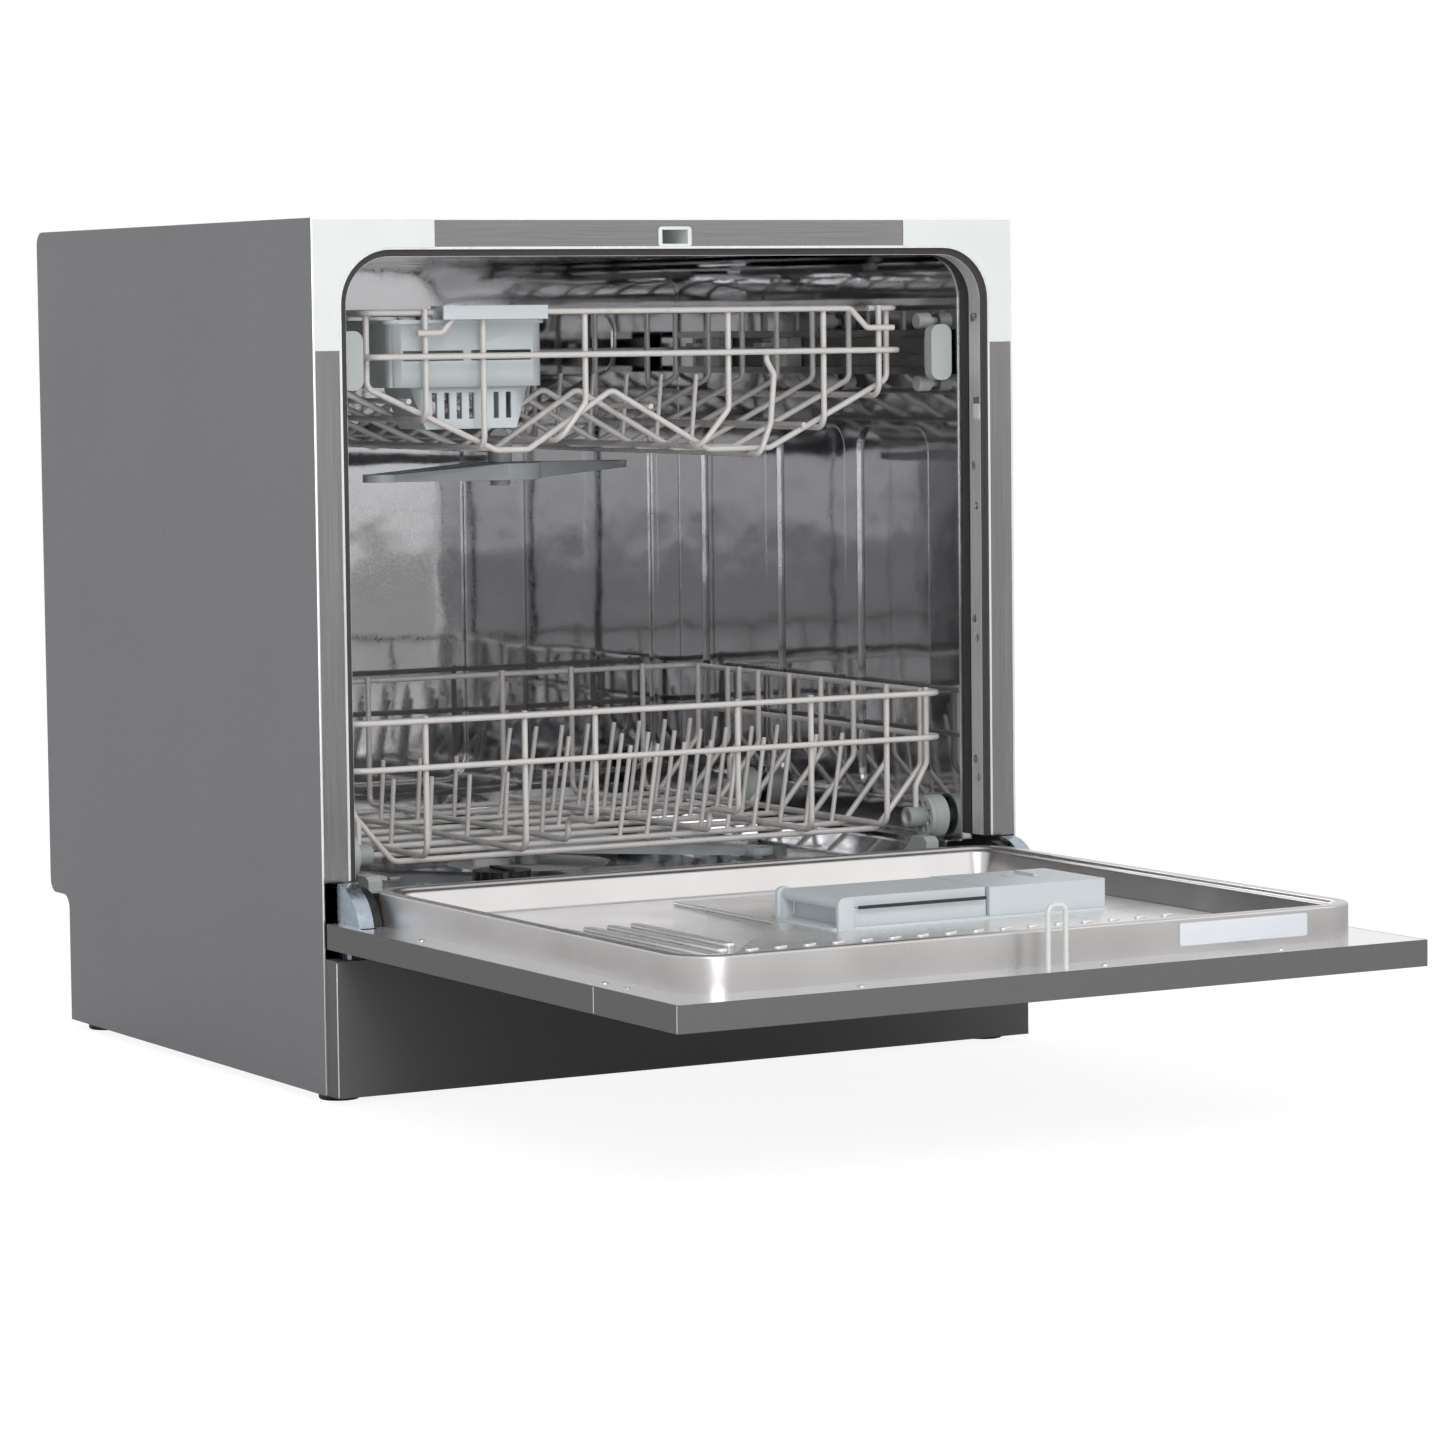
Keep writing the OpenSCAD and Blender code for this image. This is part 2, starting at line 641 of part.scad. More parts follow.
module salt_container() {
  color("#e6e8e8") translate([salt_x, salt_y, 0]) difference() {
    union() {
      translate([-salt_left, -salt_front, z0 + 30]) cube([salt_w, salt_d, basin_z - z0 - 30 - 12]);
      translate([0, 0, basin_z - 14]) cylinder(r = salt_r + 4, h = 14 - tub_t);
      translate([0, 0, basin_z - 14]) cylinder(r = salt_r - 0.1, h = 13);
    }
    translate([0, 0, basin_z - 14]) cylinder(r = salt_r - 4, h = 40);
    translate([3 - salt_left, 3 - salt_front, z0 + 33]) cube([salt_w - 6, salt_d - 6, basin_z - z0 - 48]);
  }
}

module salt_cap() {
  color("#1e1e20") translate([salt_x, salt_y, basin_z]) {
    translate([0, 0, -10]) cylinder(r = salt_r - 4 - run, h = 10);
    difference() {
      translate([0, 0, -1 + clear]) cylinder(r = salt_r - 1, h = 6);
      for (a = [0:20:340]) rotate([0, 0, a]) translate([salt_r - 1, 0, 0]) cylinder(r = 1.3, h = 14, $fn = 16);
    }
    translate([-3, -14, 0]) cube([6, 28, 7.4]);
  }
}

pump_x = 105;

// circulation pump: motor, volute and its stub to the sump
module wash_pump() {
  color("#55585c") translate([pump_x, mid_y, z0 + 58]) {
    rotate([90, 0, 0]) cylinder(r = 38, h = 60, center = true);
    translate([0, -30, 0]) rotate([90, 0, 0]) cylinder(r = 44, h = 22);
    translate([0, -30, 0]) rotate([90, 0, 0]) translate([0, 0, 22]) cylinder(r = 12, h = 14);
    for (s = [-1, 1]) translate([s * 26 - 5, -20, -56.8]) cube([10, 40, 32]);
  }
}

module drain_pump() {
  y1 = cab_d - recess_d;
  color("#60636a") {
    translate([drain_x, y1 - 60, valve_z]) rotate([-90, 0, 0]) {
      cylinder(r = 24, h = 42);
      translate([0, 0, 42]) cylinder(r = 16, h = 8);
      cylinder(r = drain_r, h = 66);
      cylinder(r = drain_r - 1.2, h = 60 + 22);
      for (k = [0:2]) translate([0, 0, 67 + k * 5]) cylinder(r1 = drain_r - 0.1, r2 = drain_r - 1.2, h = 3);
    }
    translate([drain_x - 20, y1 - 55, z0 + 1.2]) cube([40, 30, valve_z - z0 - 21]);
  }
}

module heater() {
  color("#b8babd") translate([pump_x, mid_y + 80, z0 + 44]) {
    difference() {
      rotate([90, 0, 0]) cylinder(r = 24, h = 84, center = true);
      rotate([90, 0, 0]) cylinder(r = 21, h = 78, center = true);
    }
    for (s = [-1, 1]) translate([-6, s * 26 - 5, -42.8]) cube([12, 10, 22]);
  }
}

// the inlet valve, with its threaded stub through the recess's wall
module inlet_valve() {
  y1 = cab_d - recess_d;
  color("#e8e6df") {
    translate([valve_x, y1 - 50, valve_z]) rotate([-90, 0, 0]) {
      cylinder(r = 11, h = 46);
      translate([0, 0, 44]) cylinder(r = valve_r + 4, h = 4.9);
      difference() {
        translate([0, 0, 44]) cylinder(r = valve_r, h = 6 + 14);
        translate([0, 0, 50]) cylinder(r = 9, h = 30);
      }
    }
    translate([valve_x - 14, y1 - 46, valve_z + 6]) cube([28, 30, 30]);
    translate([valve_x - 14, y1 - 46, z0 + 1.2]) cube([28, 20, valve_z - z0 - 10]);
  }
}

// the flat air-break tank between the tub and the left panel
module water_tank() {
  gap = in_x - tub_x - press_d - tub_t;
  tank_d = 190;
  tank_h = tub_z - track_z - 172.5;
  color("#f0f1f1") translate([-in_x + 0.5, mid_y - 80, 0]) {
    translate([0, 0, track_z + 40]) cube([gap - 1.5, tank_d, tank_h]);
    translate([6, 30, z0 + 60]) cube([8, 10, track_z - 20]);
    translate([6, 120, z0 + 60]) cube([8, 10, track_z - 20]);
  }
}

pipe_x = -18;
pipe_z = up_z - 93;
pipe_r = 9;
riser_z = z0 + recess_h + 12;         // height of the hose from the sump to the riser

// the riser behind the tub and the horizontal pipe that feeds the upper arm
module feed_pipe() {
  y = tub_y1 + press_d + tub_t + 15;
  color("#9fa4a8") {
    translate([pipe_x, mid_y, pipe_z]) rotate([-90, 0, 0]) cylinder(r = pipe_r, h = y - mid_y);
    translate([pipe_x, y, riser_z - 10]) cylinder(r = 13, h = pipe_z - riser_z + 24);
    translate([pipe_x, mid_y + sump_r + 4, riser_z]) rotate([-90, 0, 0])
      cylinder(r = 9, h = y - mid_y - sump_r - 4);
    translate([pipe_x, mid_y, arm2_z - 3]) cylinder(r = 4.4, h = pipe_z - arm2_z + 3);
    translate([pipe_x, mid_y, arm2_z - 4.5]) cylinder(r = 7.5, h = 4);
    translate([pipe_x, mid_y, arm2_z + arm_t + 0.4]) cylinder(r = 9, h = pipe_z - arm2_z - arm_t);
  }
}

arm_x = open_x + 1.8;                 // inner face of the hinge arms
arm_w = 11;                           // width of the hinge arms
ear_t = 3;
ear_x = arm_x + arm_w / 2 - ear_t / 2;

// base brackets with an ear and pin for each hinge
module hinge_brackets() {
  color("#c9d0d6") sides() {
    sideways(ear_x, ear_t) {
      translate([-kick_out + 2.6, z0 + 20]) square([60, kick_h - 32]);
      translate([pivot_y - 6, z0 + 40]) square([12, pivot_z - z0 - 40]);
      translate([pivot_y, pivot_z]) circle(6);
    }
    translate([ear_x, 20, z0 + 20]) cube([in_x - ear_x - 1.3, 20, 3]);
    translate([arm_x - 1, pivot_y, pivot_z]) rotate([0, 90, 0])
      cylinder(r = pin_r, h = door_x - sheet - clear - arm_x + 1);
  }
}

module cable_gland() {
  y1 = cab_d - recess_d;
  color("#2a2a2c") translate([gland_x, y1, valve_z]) rotate([-90, 0, 0]) difference() {
    union() {
      cylinder(r = gland_r, h = 6);
      translate([0, 0, -8]) cylinder(r = gland_r - 2.2, h = 10);
      translate([0, 0, 6]) cylinder(r1 = gland_r - 2, r2 = gland_r - 4, h = 8);
    }
    translate([0, 0, -10]) cylinder(r = 4, h = 40);
  }
}

// ---- door, drawn open ----------------------------------------------------------------

split_y = -door_gap - door_len + fascia_len;

// a shallow tray: flat skin below, folded walls round it, from y0 back to y1
module tray(y0, y1, wall_y0, wall_y1) {
  translate([-door_x, y0, door_z]) cube([2 * door_x, y1 - y0, sheet]);
  sides() translate([door_x - sheet, y0, door_z]) cube([sheet, y1 - y0, door_t]);
  if (wall_y0) translate([-door_x, y0, door_z]) cube([2 * door_x, sheet, door_t]);
  if (wall_y1) translate([-door_x, y1 - sheet, door_z]) cube([2 * door_x, sheet, door_t]);
}

module door_panel() {
  color("#5f5f5d") difference() {
    tray(split_y + seam, -door_gap, false, true);
    sides() translate([arm_x - 2, -door_gap - 12, door_z - 1]) cube([arm_w + 4, 20, door_t + 2]);
  }
}

button_xs = [-150, 60, 100, 140];
button_w = 22;
button_l = 9;
button_y = -door_gap - door_len + fascia_len / 2;
window_w = 96;
window_l = 30;
window_x = -40;

module control_fascia() {
  color("#5f5f5d") difference() {
    tray(-door_gap - door_len, split_y, true, false);
    for (x = button_xs) translate([x, button_y, door_z])
      linear_extrude(6, center = true) rounded(button_w + 1, button_l + 1, 3);
    translate([window_x, button_y, door_z]) cube([window_w, window_l, 6], center = true);
  }
}

module display_window() {
  color("#141416") translate([window_x, button_y, door_z]) {
    translate([0, 0, 0.1]) linear_extrude(sheet - 0.1) rounded(window_w - 0.2, window_l - 0.2, 2);
    translate([0, 0, sheet]) linear_extrude(1.5) rounded(window_w + 8, window_l + 8, 3);
  }
}

module button(i) {
  color("#7c7c7b") translate([button_xs[i], button_y, door_z - 0.6]) {
    linear_extrude(3.2) rounded(button_w, button_l, 2.6);
    translate([0, 0, sheet + 0.6 + clear]) linear_extrude(1.5) rounded(button_w + 4, button_l + 4, 3);
  }
}

module button_power() { button(0); }

module button_program() { button(1); }

module button_delay() { button(2); }

module button_start() { button(3); }

// the circuit board behind the control panel, in its carrier
module control_board() {
  z = door_z + 9;
  color("#2f6b45") {
    translate([-175, button_y - 26, z]) cube([350, 52, 1.6]);
    for (x = [-140, -60, 20, 110]) translate([x, button_y + 8, z + 1.6]) cube([22, 12, 2.4]);
    for (x = [-170, 165], s = [-1, 1]) translate([x, button_y + s * 20, door_z + sheet])
      cylinder(r = 3, h = z - door_z - sheet);
  }
}

module rim_outline(grow) {
  w = rim_x - grow;
  y0 = rim_y0 - grow;
  y1 = rim_y1 + grow;
  translate([0, (y0 + y1) / 2]) rounded(2 * w, y0 - y1, max(rim_r - grow, 4));
}

// the deep-drawn inner door: flange, raised rim and sunk pan, in one sheet
module door_liner() {
  t = tub_t;
  top = track_z;
  pan_z = top - pan_d;
  color("#c9c7c6") difference() {
    union() {
      translate([-door_x + sheet + 0.1, -door_gap - door_len + sheet + 0.1, door_in - t])
        cube([2 * (door_x - sheet - 0.1), door_len - 2 * sheet - 0.2, t]);
      translate([0, 0, door_in - t]) linear_extrude(rim_h + t - 2) rim_outline(0);
      translate([0, 0, door_in]) linear_extrude(rim_h - 1) rim_outline(0.6);
      translate([0, 0, door_in]) linear_extrude(rim_h) rim_outline(2);
    }
    translate([0, 0, door_in - t - 1]) linear_extrude(pan_z - t - door_in + t + 1) rim_outline(t);
    difference() {
      translate([0, 0, pan_z - t - 1]) linear_extrude(top - t - pan_z + t + 1 - 0.6) rim_outline(t + 0.6);
      translate([0, 0, pan_z - t - 2]) linear_extrude(pan_d + 4) rim_outline(rim_band - t);
    }
    translate([0, 0, pan_z]) linear_extrude(pan_d + 1) rim_outline(rim_band);
    translate([disp_x, disp_y, pan_z - 5]) cube([disp_w - 16, disp_l - 16, 20], center = true);
    sides() translate([arm_x - 0.6, -door_gap - 46, door_in - t - 1]) cube([door_x, 60, 10]);
  }
}

disp_y = -door_gap - disp_pos - disp_l / 2;
disp_x = 72;
disp_z0 = track_z - pan_d;            // the pan's floor
disp_z1 = track_z + disp_up;
lid_x0 = disp_x - disp_w / 2 + 7;
lid_t = 7;

// arms bolted under the liner's flange, with a curved channel that hides the ear
module hinge_arms() {
  t = 1.6;
  foot_y = -door_gap - 44;
  color("#aebac6") sides() {
    difference() {
      union() {
        sideways(arm_x, arm_w) {
          intersection() {
            translate([pivot_y, pivot_z]) circle(arm_r);
            translate([pivot_y - arm_r, door_in]) square([arm_r, arm_r]);
          }
          translate([foot_y, door_in - 2]) square([pivot_y - foot_y, 2]);
          translate([pivot_y, pivot_z]) circle(7);
          translate([pivot_y - 7, pivot_z]) square([14, door_in - pivot_z]);
        }
      }
      sideways(arm_x + t, arm_w - 2 * t) difference() {
        translate([pivot_y, pivot_z]) circle(arm_r - t);
      }
      translate([arm_x - 1, pivot_y, pivot_z]) rotate([0, 90, 0]) cylinder(r = pin_r + run, h = arm_w + 2);
    }
  }
}

// black caps that close the notch between the arm and the liner
module hinge_caps() {
  color("#1c1c1e") sides() difference() {
    sideways(rim_x + 0.4, arm_x - rim_x - 1) intersection() {
      translate([pivot_y, pivot_z]) circle(arm_r - 3);
      translate([pivot_y - 30, door_in]) square([30, 40]);
    }
  }
}

striker_y = pivot_y - (latch_z - pivot_z);   // meets the lock's slot when the door is closed
striker_top = track_z + 17;

// the wire loop that the lock catches
module door_striker() {
  x = 6.5;
  color("#e4e4e4") wire([[-x, striker_y, door_in], [-x, striker_y, striker_top],
    [x, striker_y, striker_top], [x, striker_y, door_in]], striker_r, 5);
}

module dispenser_body() {
  wall = 1.6;
  cup_x0 = lid_x0 + 4;
  color("#c4d3d9") difference() {
    union() {
      translate([disp_x, disp_y, disp_z0]) linear_extrude(4) rounded(disp_w, disp_l, 6);
      translate([disp_x, disp_y, disp_z0 - 14]) linear_extrude(15) rounded(disp_w - 18, disp_l - 18, 6);
      translate([lid_x0 + lid_w + 1, disp_y - disp_l / 2 + 3, disp_z0])
        cube([disp_x + disp_w / 2 - 3 - lid_x0 - lid_w - 1, disp_l - 6, disp_z1 - disp_z0]);
      translate([lid_x0 + 6, disp_y - disp_l / 2 + 6, disp_z0]) cube([lid_w - 6, disp_l - 12, disp_z1 - disp_z0 - lid_t - clear]);
      for (s = [-1, 1]) translate([lid_x0 - 3, disp_y + s * (disp_l / 2 - 4) - 2, disp_z0])
        cube([8, 4, disp_z1 - disp_z0 - 4]);
      for (s = [-1, 1]) translate([lid_x0 + 1, disp_y + s * (disp_l / 2 - 4), disp_z1 - 4]) rotate([90, 0, 0])
        cylinder(r = 4, h = 4, center = true);
    }
    translate([cup_x0 + 6, disp_y - disp_l / 2 + 12, disp_z0 - 10]) cube([lid_w - 16, disp_l - 24, 60]);
    translate([cap_x, cap_y, disp_z1 - 6]) cylinder(r = cap_r + run, h = 20);
    translate([lid_x0 + 1, disp_y, disp_z1 - 4]) rotate([90, 0, 0]) cylinder(r = 1.5 + run, h = disp_l, center = true);
  }
}

cap_x = disp_x + disp_w / 2 - 36;
cap_y = disp_y + 8;
cap_r = 17;

// the sprung flap over the detergent cup, turning on pins at its left end
module dispenser_lid() {
  inner_l = disp_l - 12.6;
  color("#c4d3d9") {
    difference() {
      translate([lid_x0 + 1, disp_y - inner_l / 2, disp_z1 - lid_t]) cube([lid_w - 1.4, inner_l, lid_t]);
      translate([lid_x0 + 6, disp_y - inner_l / 2 + 2, disp_z1 - lid_t - 1]) cube([lid_w - 10, inner_l - 4, lid_t - 1]);
      translate([lid_x0 - 4, disp_y - inner_l, disp_z1 - 8]) cube([5, 2 * inner_l, 9]);
    }
    translate([lid_x0 + 1, disp_y, disp_z1 - 4]) rotate([90, 0, 0]) cylinder(r = 4, h = inner_l, center = true);
    translate([lid_x0 + 1, disp_y, disp_z1 - 4]) rotate([90, 0, 0]) cylinder(r = 1.5, h = disp_l - 4.4, center = true);
  }
}

module rinse_aid_cap() {
  color("#b9cad1") translate([cap_x, cap_y, disp_z1 - 6 + clear]) {
    cylinder(r = cap_r, h = 6);
    translate([-2, -12, 6]) cube([4, 24, 2]);
  }
}

// ---- upper basket --------------------------------------------------------------------

// heights of the upper basket's floor: two valleys, and a hump over the feed pipe
side_in = 2 * wire_r + 0.1;           // how far inside the rims the floor's ends stand
floor_path = [[-up_x + side_in, up_z - 51], [-up_x + 102, up_z - 95], [-up_x + 127, up_z - 95],
  [pipe_x, up_z - 55], [up_x - 152, up_z - 98], [up_x - 102, up_z - 98], [up_x - side_in, up_z - 51]];

module rail_channels() {
  t = 1.2;
  lip = 5;
  w = 14;
  color("#c6c6c8") sides() translate([rail_x, rail_y0 + rail_len, rail_z]) rotate([90, 0, 0])
    linear_extrude(rail_len - 6) difference() {
      square([w, rail_h]);
      translate([-1, lip]) square([w - t + 1, rail_h - 2 * lip]);
      translate([t, t]) square([w - 2 * t, rail_h - 2 * t]);
    }
}

module rail_caps() {
  color("#cfd4d5") sides() translate([rail_x - 1, rail_y0 + 6, rail_z + rail_h / 2]) {
    rotate([90, 0, 0]) linear_extrude(9) translate([8, 0]) rounded(17, rail_h + 8, 7);
    translate([2.6, 0, -rail_h / 2 + 1.6]) cube([10.8, 6, rail_h - 3.2]);
  }
}

slider_ys = [rail_y0 + up_travel + 47, rail_y0 + rail_len - 56];

// nylon runners clipped to the basket, which run inside the rails
module rack_sliders() {
  color("#d9dcdc") sides() for (y = slider_ys) translate([rail_x, y, rail_z + rail_h / 2]) {
    translate([1.5, -9, -rail_h / 2 + 1.5]) cube([10.6, 18, rail_h - 3]);
    translate([up_x + wire_r + 0.05 - rail_x, -6, -rail_h / 2 + 5.3 ]) cube([rail_x - up_x - wire_r + 2, 12, rail_h - 10.6]);
    translate([up_x - wire_r - 4 - rail_x, -6, up_rim2_z + wire_r + 0.05 - rail_z - rail_h / 2]) cube([10 + wire_r, 12, 3]);
  }
}

function floor_z(x) = lookup(x, floor_path);

// height of a long wire's axis where it passes under the cross wires at x
function under_z(x) = floor_z(x) - (2 * wire_r + 0.1) * norm([1, floor_z(x + 0.5) - floor_z(x - 0.5)]);

// a front-to-back wire: x at the rim, x at the floor
module up_long(x, foot) {
  y0 = up_y + 2 * wire_r - weld;
  y1 = up_y + up_d - 2 * wire_r + weld;
  z = under_z(foot);
  kink = z + 26;
  pts = x == foot
    ? [[x, y0, up_z + 2], [x, y0, z], [x, y1, z], [x, y1, up_z + 2]]
    : [[x, y0, up_z + 2], [x, y0, kink], [foot, y0, z], [foot, y1, z], [foot, y1, up_z + 2]];
  wire(pts, wire_r, bend_r);
}

module upper_basket_frame() {
  low = 14;
  y1 = up_y + up_d;
  u_y = up_y + 4 * wire_r - 2 * weld;
  color("#c9c4bf") {
    // top rim: a front bar that steps down at both ends, and a U behind the front wires
    wire([[-up_x + 35, up_y, up_z - low], [-up_x + 54, up_y, up_z - low],
      [-up_x + 66, up_y, up_z], [up_x - 44, up_y, up_z],
      [up_x - 30, up_y, up_z - low], [up_x - 8, up_y, up_z - low]], wire_r, 6);
    wire([[-up_x + 50, u_y, up_z], [-up_x, u_y, up_z], [-up_x, y1, up_z], [up_x, y1, up_z],
      [up_x, u_y, up_z], [up_x - 25, u_y, up_z]], wire_r, 8);
    ring_wire(up_x, up_y, y1, up_rim2_z, wire_r, 12);
    for (p = [[-up_x + 43, -up_x + 43], [-up_x + 87, -up_x + 87], [-up_x + 166, -up_x + 145],
      [up_x - 142, up_x - 165], [up_x - 64, up_x - 64], [up_x - 18, up_x - 18]]) up_long(p[0], p[1]);
    // the short cranked wire that starts at the second rim
    short_y = up_y + 2 * wire_r - weld;
    short_x = up_x - 117;
    short_z = under_z(short_x);
    wire([[short_x + 6, short_y, up_rim2_z + 2], [short_x + 6, short_y, up_z - 36],
      [short_x + 12, short_y, up_z - 46], [short_x + 9, short_y, up_z - 80],
      [short_x, short_y, short_z], [short_x, y1 - 2 * wire_r + weld, short_z],
      [short_x, y1 - 2 * wire_r + weld, up_rim2_z + 2]], wire_r, 6);
  }
}

cross_n = 7;

module upper_basket_floor() {
  first = up_y + 16;
  step = (up_d - 40) / (cross_n - 1);
  xs = up_x - side_in;
  color("#c9c4bf") {
    for (i = [0:cross_n - 1]) wire(concat([[-xs, first + i * step, up_z + 1]],
      [for (p = floor_path) [p[0], first + i * step, p[1]]],
      [[xs, first + i * step, up_z + 1]]), wire_r, 7);
    for (x = [-up_x + 33, pipe_x + 28, up_x - 77]) rod([x, first - 6, floor_z(x) + 2 * wire_r - weld - 0.2],
      [x, first + up_d - 34, floor_z(x) + 2 * wire_r - weld - 0.2], wire_r * 0.9);
    for (i = [1:cross_n - 1], x = [up_x - 137]) rod([x, first + i * step, floor_z(x) + 0.4],
      [x + 5, first + i * step, up_z - 46], tine_r);
  }
}

// the hung cutlery box: slotted body, tapered slatted foot between the wires, hook over the rim
module cutlery_basket() {
  x0 = -up_x + 20;
  w = 118;
  y0 = up_y + 5 * wire_r + 1.3;   // the box lifts out behind the top rim's wire
  d = 84;
  z0b = up_z - 51;
  t = 2;
  mid = [x0 + w / 2, y0 + d / 2];
  hook_x = x0 + 33;
  hook_z = up_z + wire_r + clear;
  hook_y = up_y - wire_r - 2.8;
  foot_y = [up_y + 4 * wire_r + 13, up_y + 4 * wire_r + 54];
  color("#c4cfd3") {
    difference() {
      union() {
        translate([mid[0], mid[1], z0b]) linear_extrude(46) rounded(w, d, 8);
        translate([mid[0], mid[1], z0b + 43]) linear_extrude(3) rounded(w + 5, d + 3, 9);
        upright(foot_y[0], foot_y[1] - foot_y[0]) polygon([[x0 + 19, z0b + 1], [x0 + 31, z0b - 29],
          [x0 + 101, z0b - 29], [x0 + 110, z0b + 1]]);
      }
      translate([mid[0], mid[1], z0b + t]) linear_extrude(60) rounded(w - 2 * t, d - 2 * t, 6);
      upright(foot_y[0] + t, foot_y[1] - foot_y[0] - 2 * t) polygon([[x0 + 22, z0b + 5],
        [x0 + 33, z0b - 27], [x0 + 99, z0b - 27], [x0 + 107, z0b + 5]]);
      for (s = [0:1]) translate([x0 + 10 + s * 52, y0 - 5, z0b + 18]) cube([46, 20, 10]);
      for (i = [0:6]) translate([x0 + 36 + i * 9.5, y0 - 2, z0b - 22]) cube([4, 80, 18]);
    }
    translate([hook_x, hook_y, hook_z]) cube([80, y0 + 3 - hook_y, 2]);
    translate([hook_x, hook_y, hook_z - 14]) cube([80, 2, 16]);
    translate([hook_x, y0 + 0.6, z0b + 40]) cube([80, 2.4, hook_z - z0b - 39]);
  }
}

// ---- lower basket --------------------------------------------------------------------

// a front-to-back hoop, with a step in its floor where step_h is over 0
module low_long(x, step_h) {
  y0 = low_y + 2 * wire_r - weld;
  y1 = low_y + low_d - 2 * wire_r + weld;
  z = low_floor_z;
  pts = step_h == 0
    ? [[x, y0, low_rim_z + 3], [x, y0, z], [x, y1, z], [x, y1, low_rim_z + 3]]
    : [[x, y0, low_rim_z + 3], [x, y0, z + step_h], [x, y0 + 42, z + step_h],
      [x, y0 + 42, z], [x, y1, z], [x, y1, low_rim_z + 3]];
  wire(pts, wire_r, step_h == 0 ? bend_r : 7);
}

wheel_ys = [low_y + 18, low_y + low_d - 82];
hub_x0 = track_x - 19;
hub_x1 = track_x - 6;

// a cranked wire from the rim down to the wheel's bush, and its axle
module wheel_leg(y) {
  x = low_x - 2 * wire_r + weld;
  foot = hub_x1 - 5;
  wire([[x, y, low_rim_z + 3], [x, y, wheel_z + 38.5], [foot, y, wheel_z + 22.5], [foot, y, wheel_z + 4]], wire_r, 8);
  translate([hub_x0, y, wheel_z]) rotate([0, 90, 0]) difference() {
    union() {
      cylinder(r = 7, h = hub_x1 - hub_x0);
      cylinder(r = 3, h = tub_x - 3 - hub_x0);
    }
    translate([0, 0, -1]) cylinder(r = 4.6, h = 6);
  }
}

module lower_basket_frame() {
  color("#cfcac4") {
    for (z = [low_rim_z, low_rim_z - low_rims])
      ring_wire(low_x, low_y, low_y + low_d, z, wire_r, 14);
    for (x = [-low_x + 58, -low_x + 134, low_x - 109, low_x - 46]) low_long(x, 0);
    for (x = [-low_x + 189, low_x - 169]) low_long(x, 16);
    sides() for (y = wheel_ys) wheel_leg(y);
  }
}

cross_gap = (low_d - 43) / 7;
low_cross = [for (i = [0:7]) 25 + i * cross_gap];
tine_x0 = -low_x + 86;                // first tine of the left and of the right field
tine_x1 = low_x - 228;

module lower_basket_floor() {
  z = low_floor_z - 2 * wire_r - 0.05;
  x = low_x - 2 * wire_r - 0.05;
  color("#cfcac4") {
    for (d = low_cross) wire([[-x, low_y + d, low_rim_z + 2], [-x, low_y + d, wheel_z + 36.5],
      [-x + 38, low_y + d, z], [x - 38, low_y + d, z], [x, low_y + d, wheel_z + 36.5],
      [x, low_y + d, low_rim_z + 2]], wire_r, bend_r);
    for (d = [low_cross[1], low_cross[3], low_cross[5]], i = [0:8]) rod([tine_x1 + i * 22, low_y + d, z + 0.4],
      [tine_x1 + 10 + i * 22, low_y + d, z + 66], tine_r);
    for (d = [low_cross[2], low_cross[5]], i = [0:4]) rod([tine_x0 + i * 30, low_y + d, z + 0.4],
      [tine_x0 + i * 30, low_y + d - 6, z + 48], tine_r);
  }
}

// roller: tread, spoked inner face and bore
module wheel(side, y) {
  color("#c3c8c9") translate([side * hub_x1, y, wheel_z]) rotate([0, side * 90, 0]) translate([0, 0, clear]) {
    difference() {
      union() {
        cylinder(r = flange_r, h = 3.6);
        translate([0, 0, 3.6]) cylinder(r = wheel_r, h = tub_x - 7.1 - hub_x1 - clear);
      }
      translate([0, 0, -1]) cylinder(r = 3 + run, h = 40);
      translate([0, 0, 7]) difference() {
        cylinder(r = wheel_r - 2, h = 30);
        cylinder(r = 5.4, h = 30);
      }
      for (a = [0:45:315]) rotate([0, 0, a + 22.5]) translate([9.4, 0, -1]) cylinder(r = 2.5, h = 3.4, $fn = 24);
    }
  }
}

module wheel_front_left() { wheel(-1, wheel_ys[0]); }

module wheel_front_right() { wheel(1, wheel_ys[0]); }

module wheel_rear_left() { wheel(-1, wheel_ys[1]); }

module wheel_rear_right() { wheel(1, wheel_ys[1]); }

// ---- spray arms ----------------------------------------------------------------------

// a hollow paddle that tapers to its tips, with jets along its top
module paddle(reach, hub_r) {
  difference() {
    union() {
      linear_extrude(arm_t) union() {
        polygon([[-reach + 12, -11], [0, -19], [reach - 12, -11], [reach - 12, 11], [0, 19], [-reach + 12, 11]]);
        for (s = [-1, 1]) translate([s * (reach - 12), 0]) circle(12);
        circle(30);
      }
    }
    translate([0, 0, -1]) cylinder(r = hub_r, h = arm_t + 2);
    for (s = [-1, 1], k = [1:5]) translate([s * (reach * (0.2 + 0.15 * k)), s * 4, arm_t - 2]) cylinder(r = 1.8, h = 4, $fn = 24);
    for (s = [-1, 1]) translate([s * reach * 0.55, 0, -1]) rotate([0, 0, 0]) linear_extrude(3) rounded(reach * 0.5, 8, 3.9);
  }
}

module lower_spray_arm() {
  color("#a9b3b9") translate([0, mid_y, arm1_z]) rotate([0, 0, low_arm_at]) paddle(low_arm_r, 5 + run);
}

module upper_spray_arm() {
  color("#8b9196") translate([pipe_x, mid_y, arm2_z]) rotate([0, 0, up_arm_at]) paddle(up_arm_r, 4.4 + run);
}

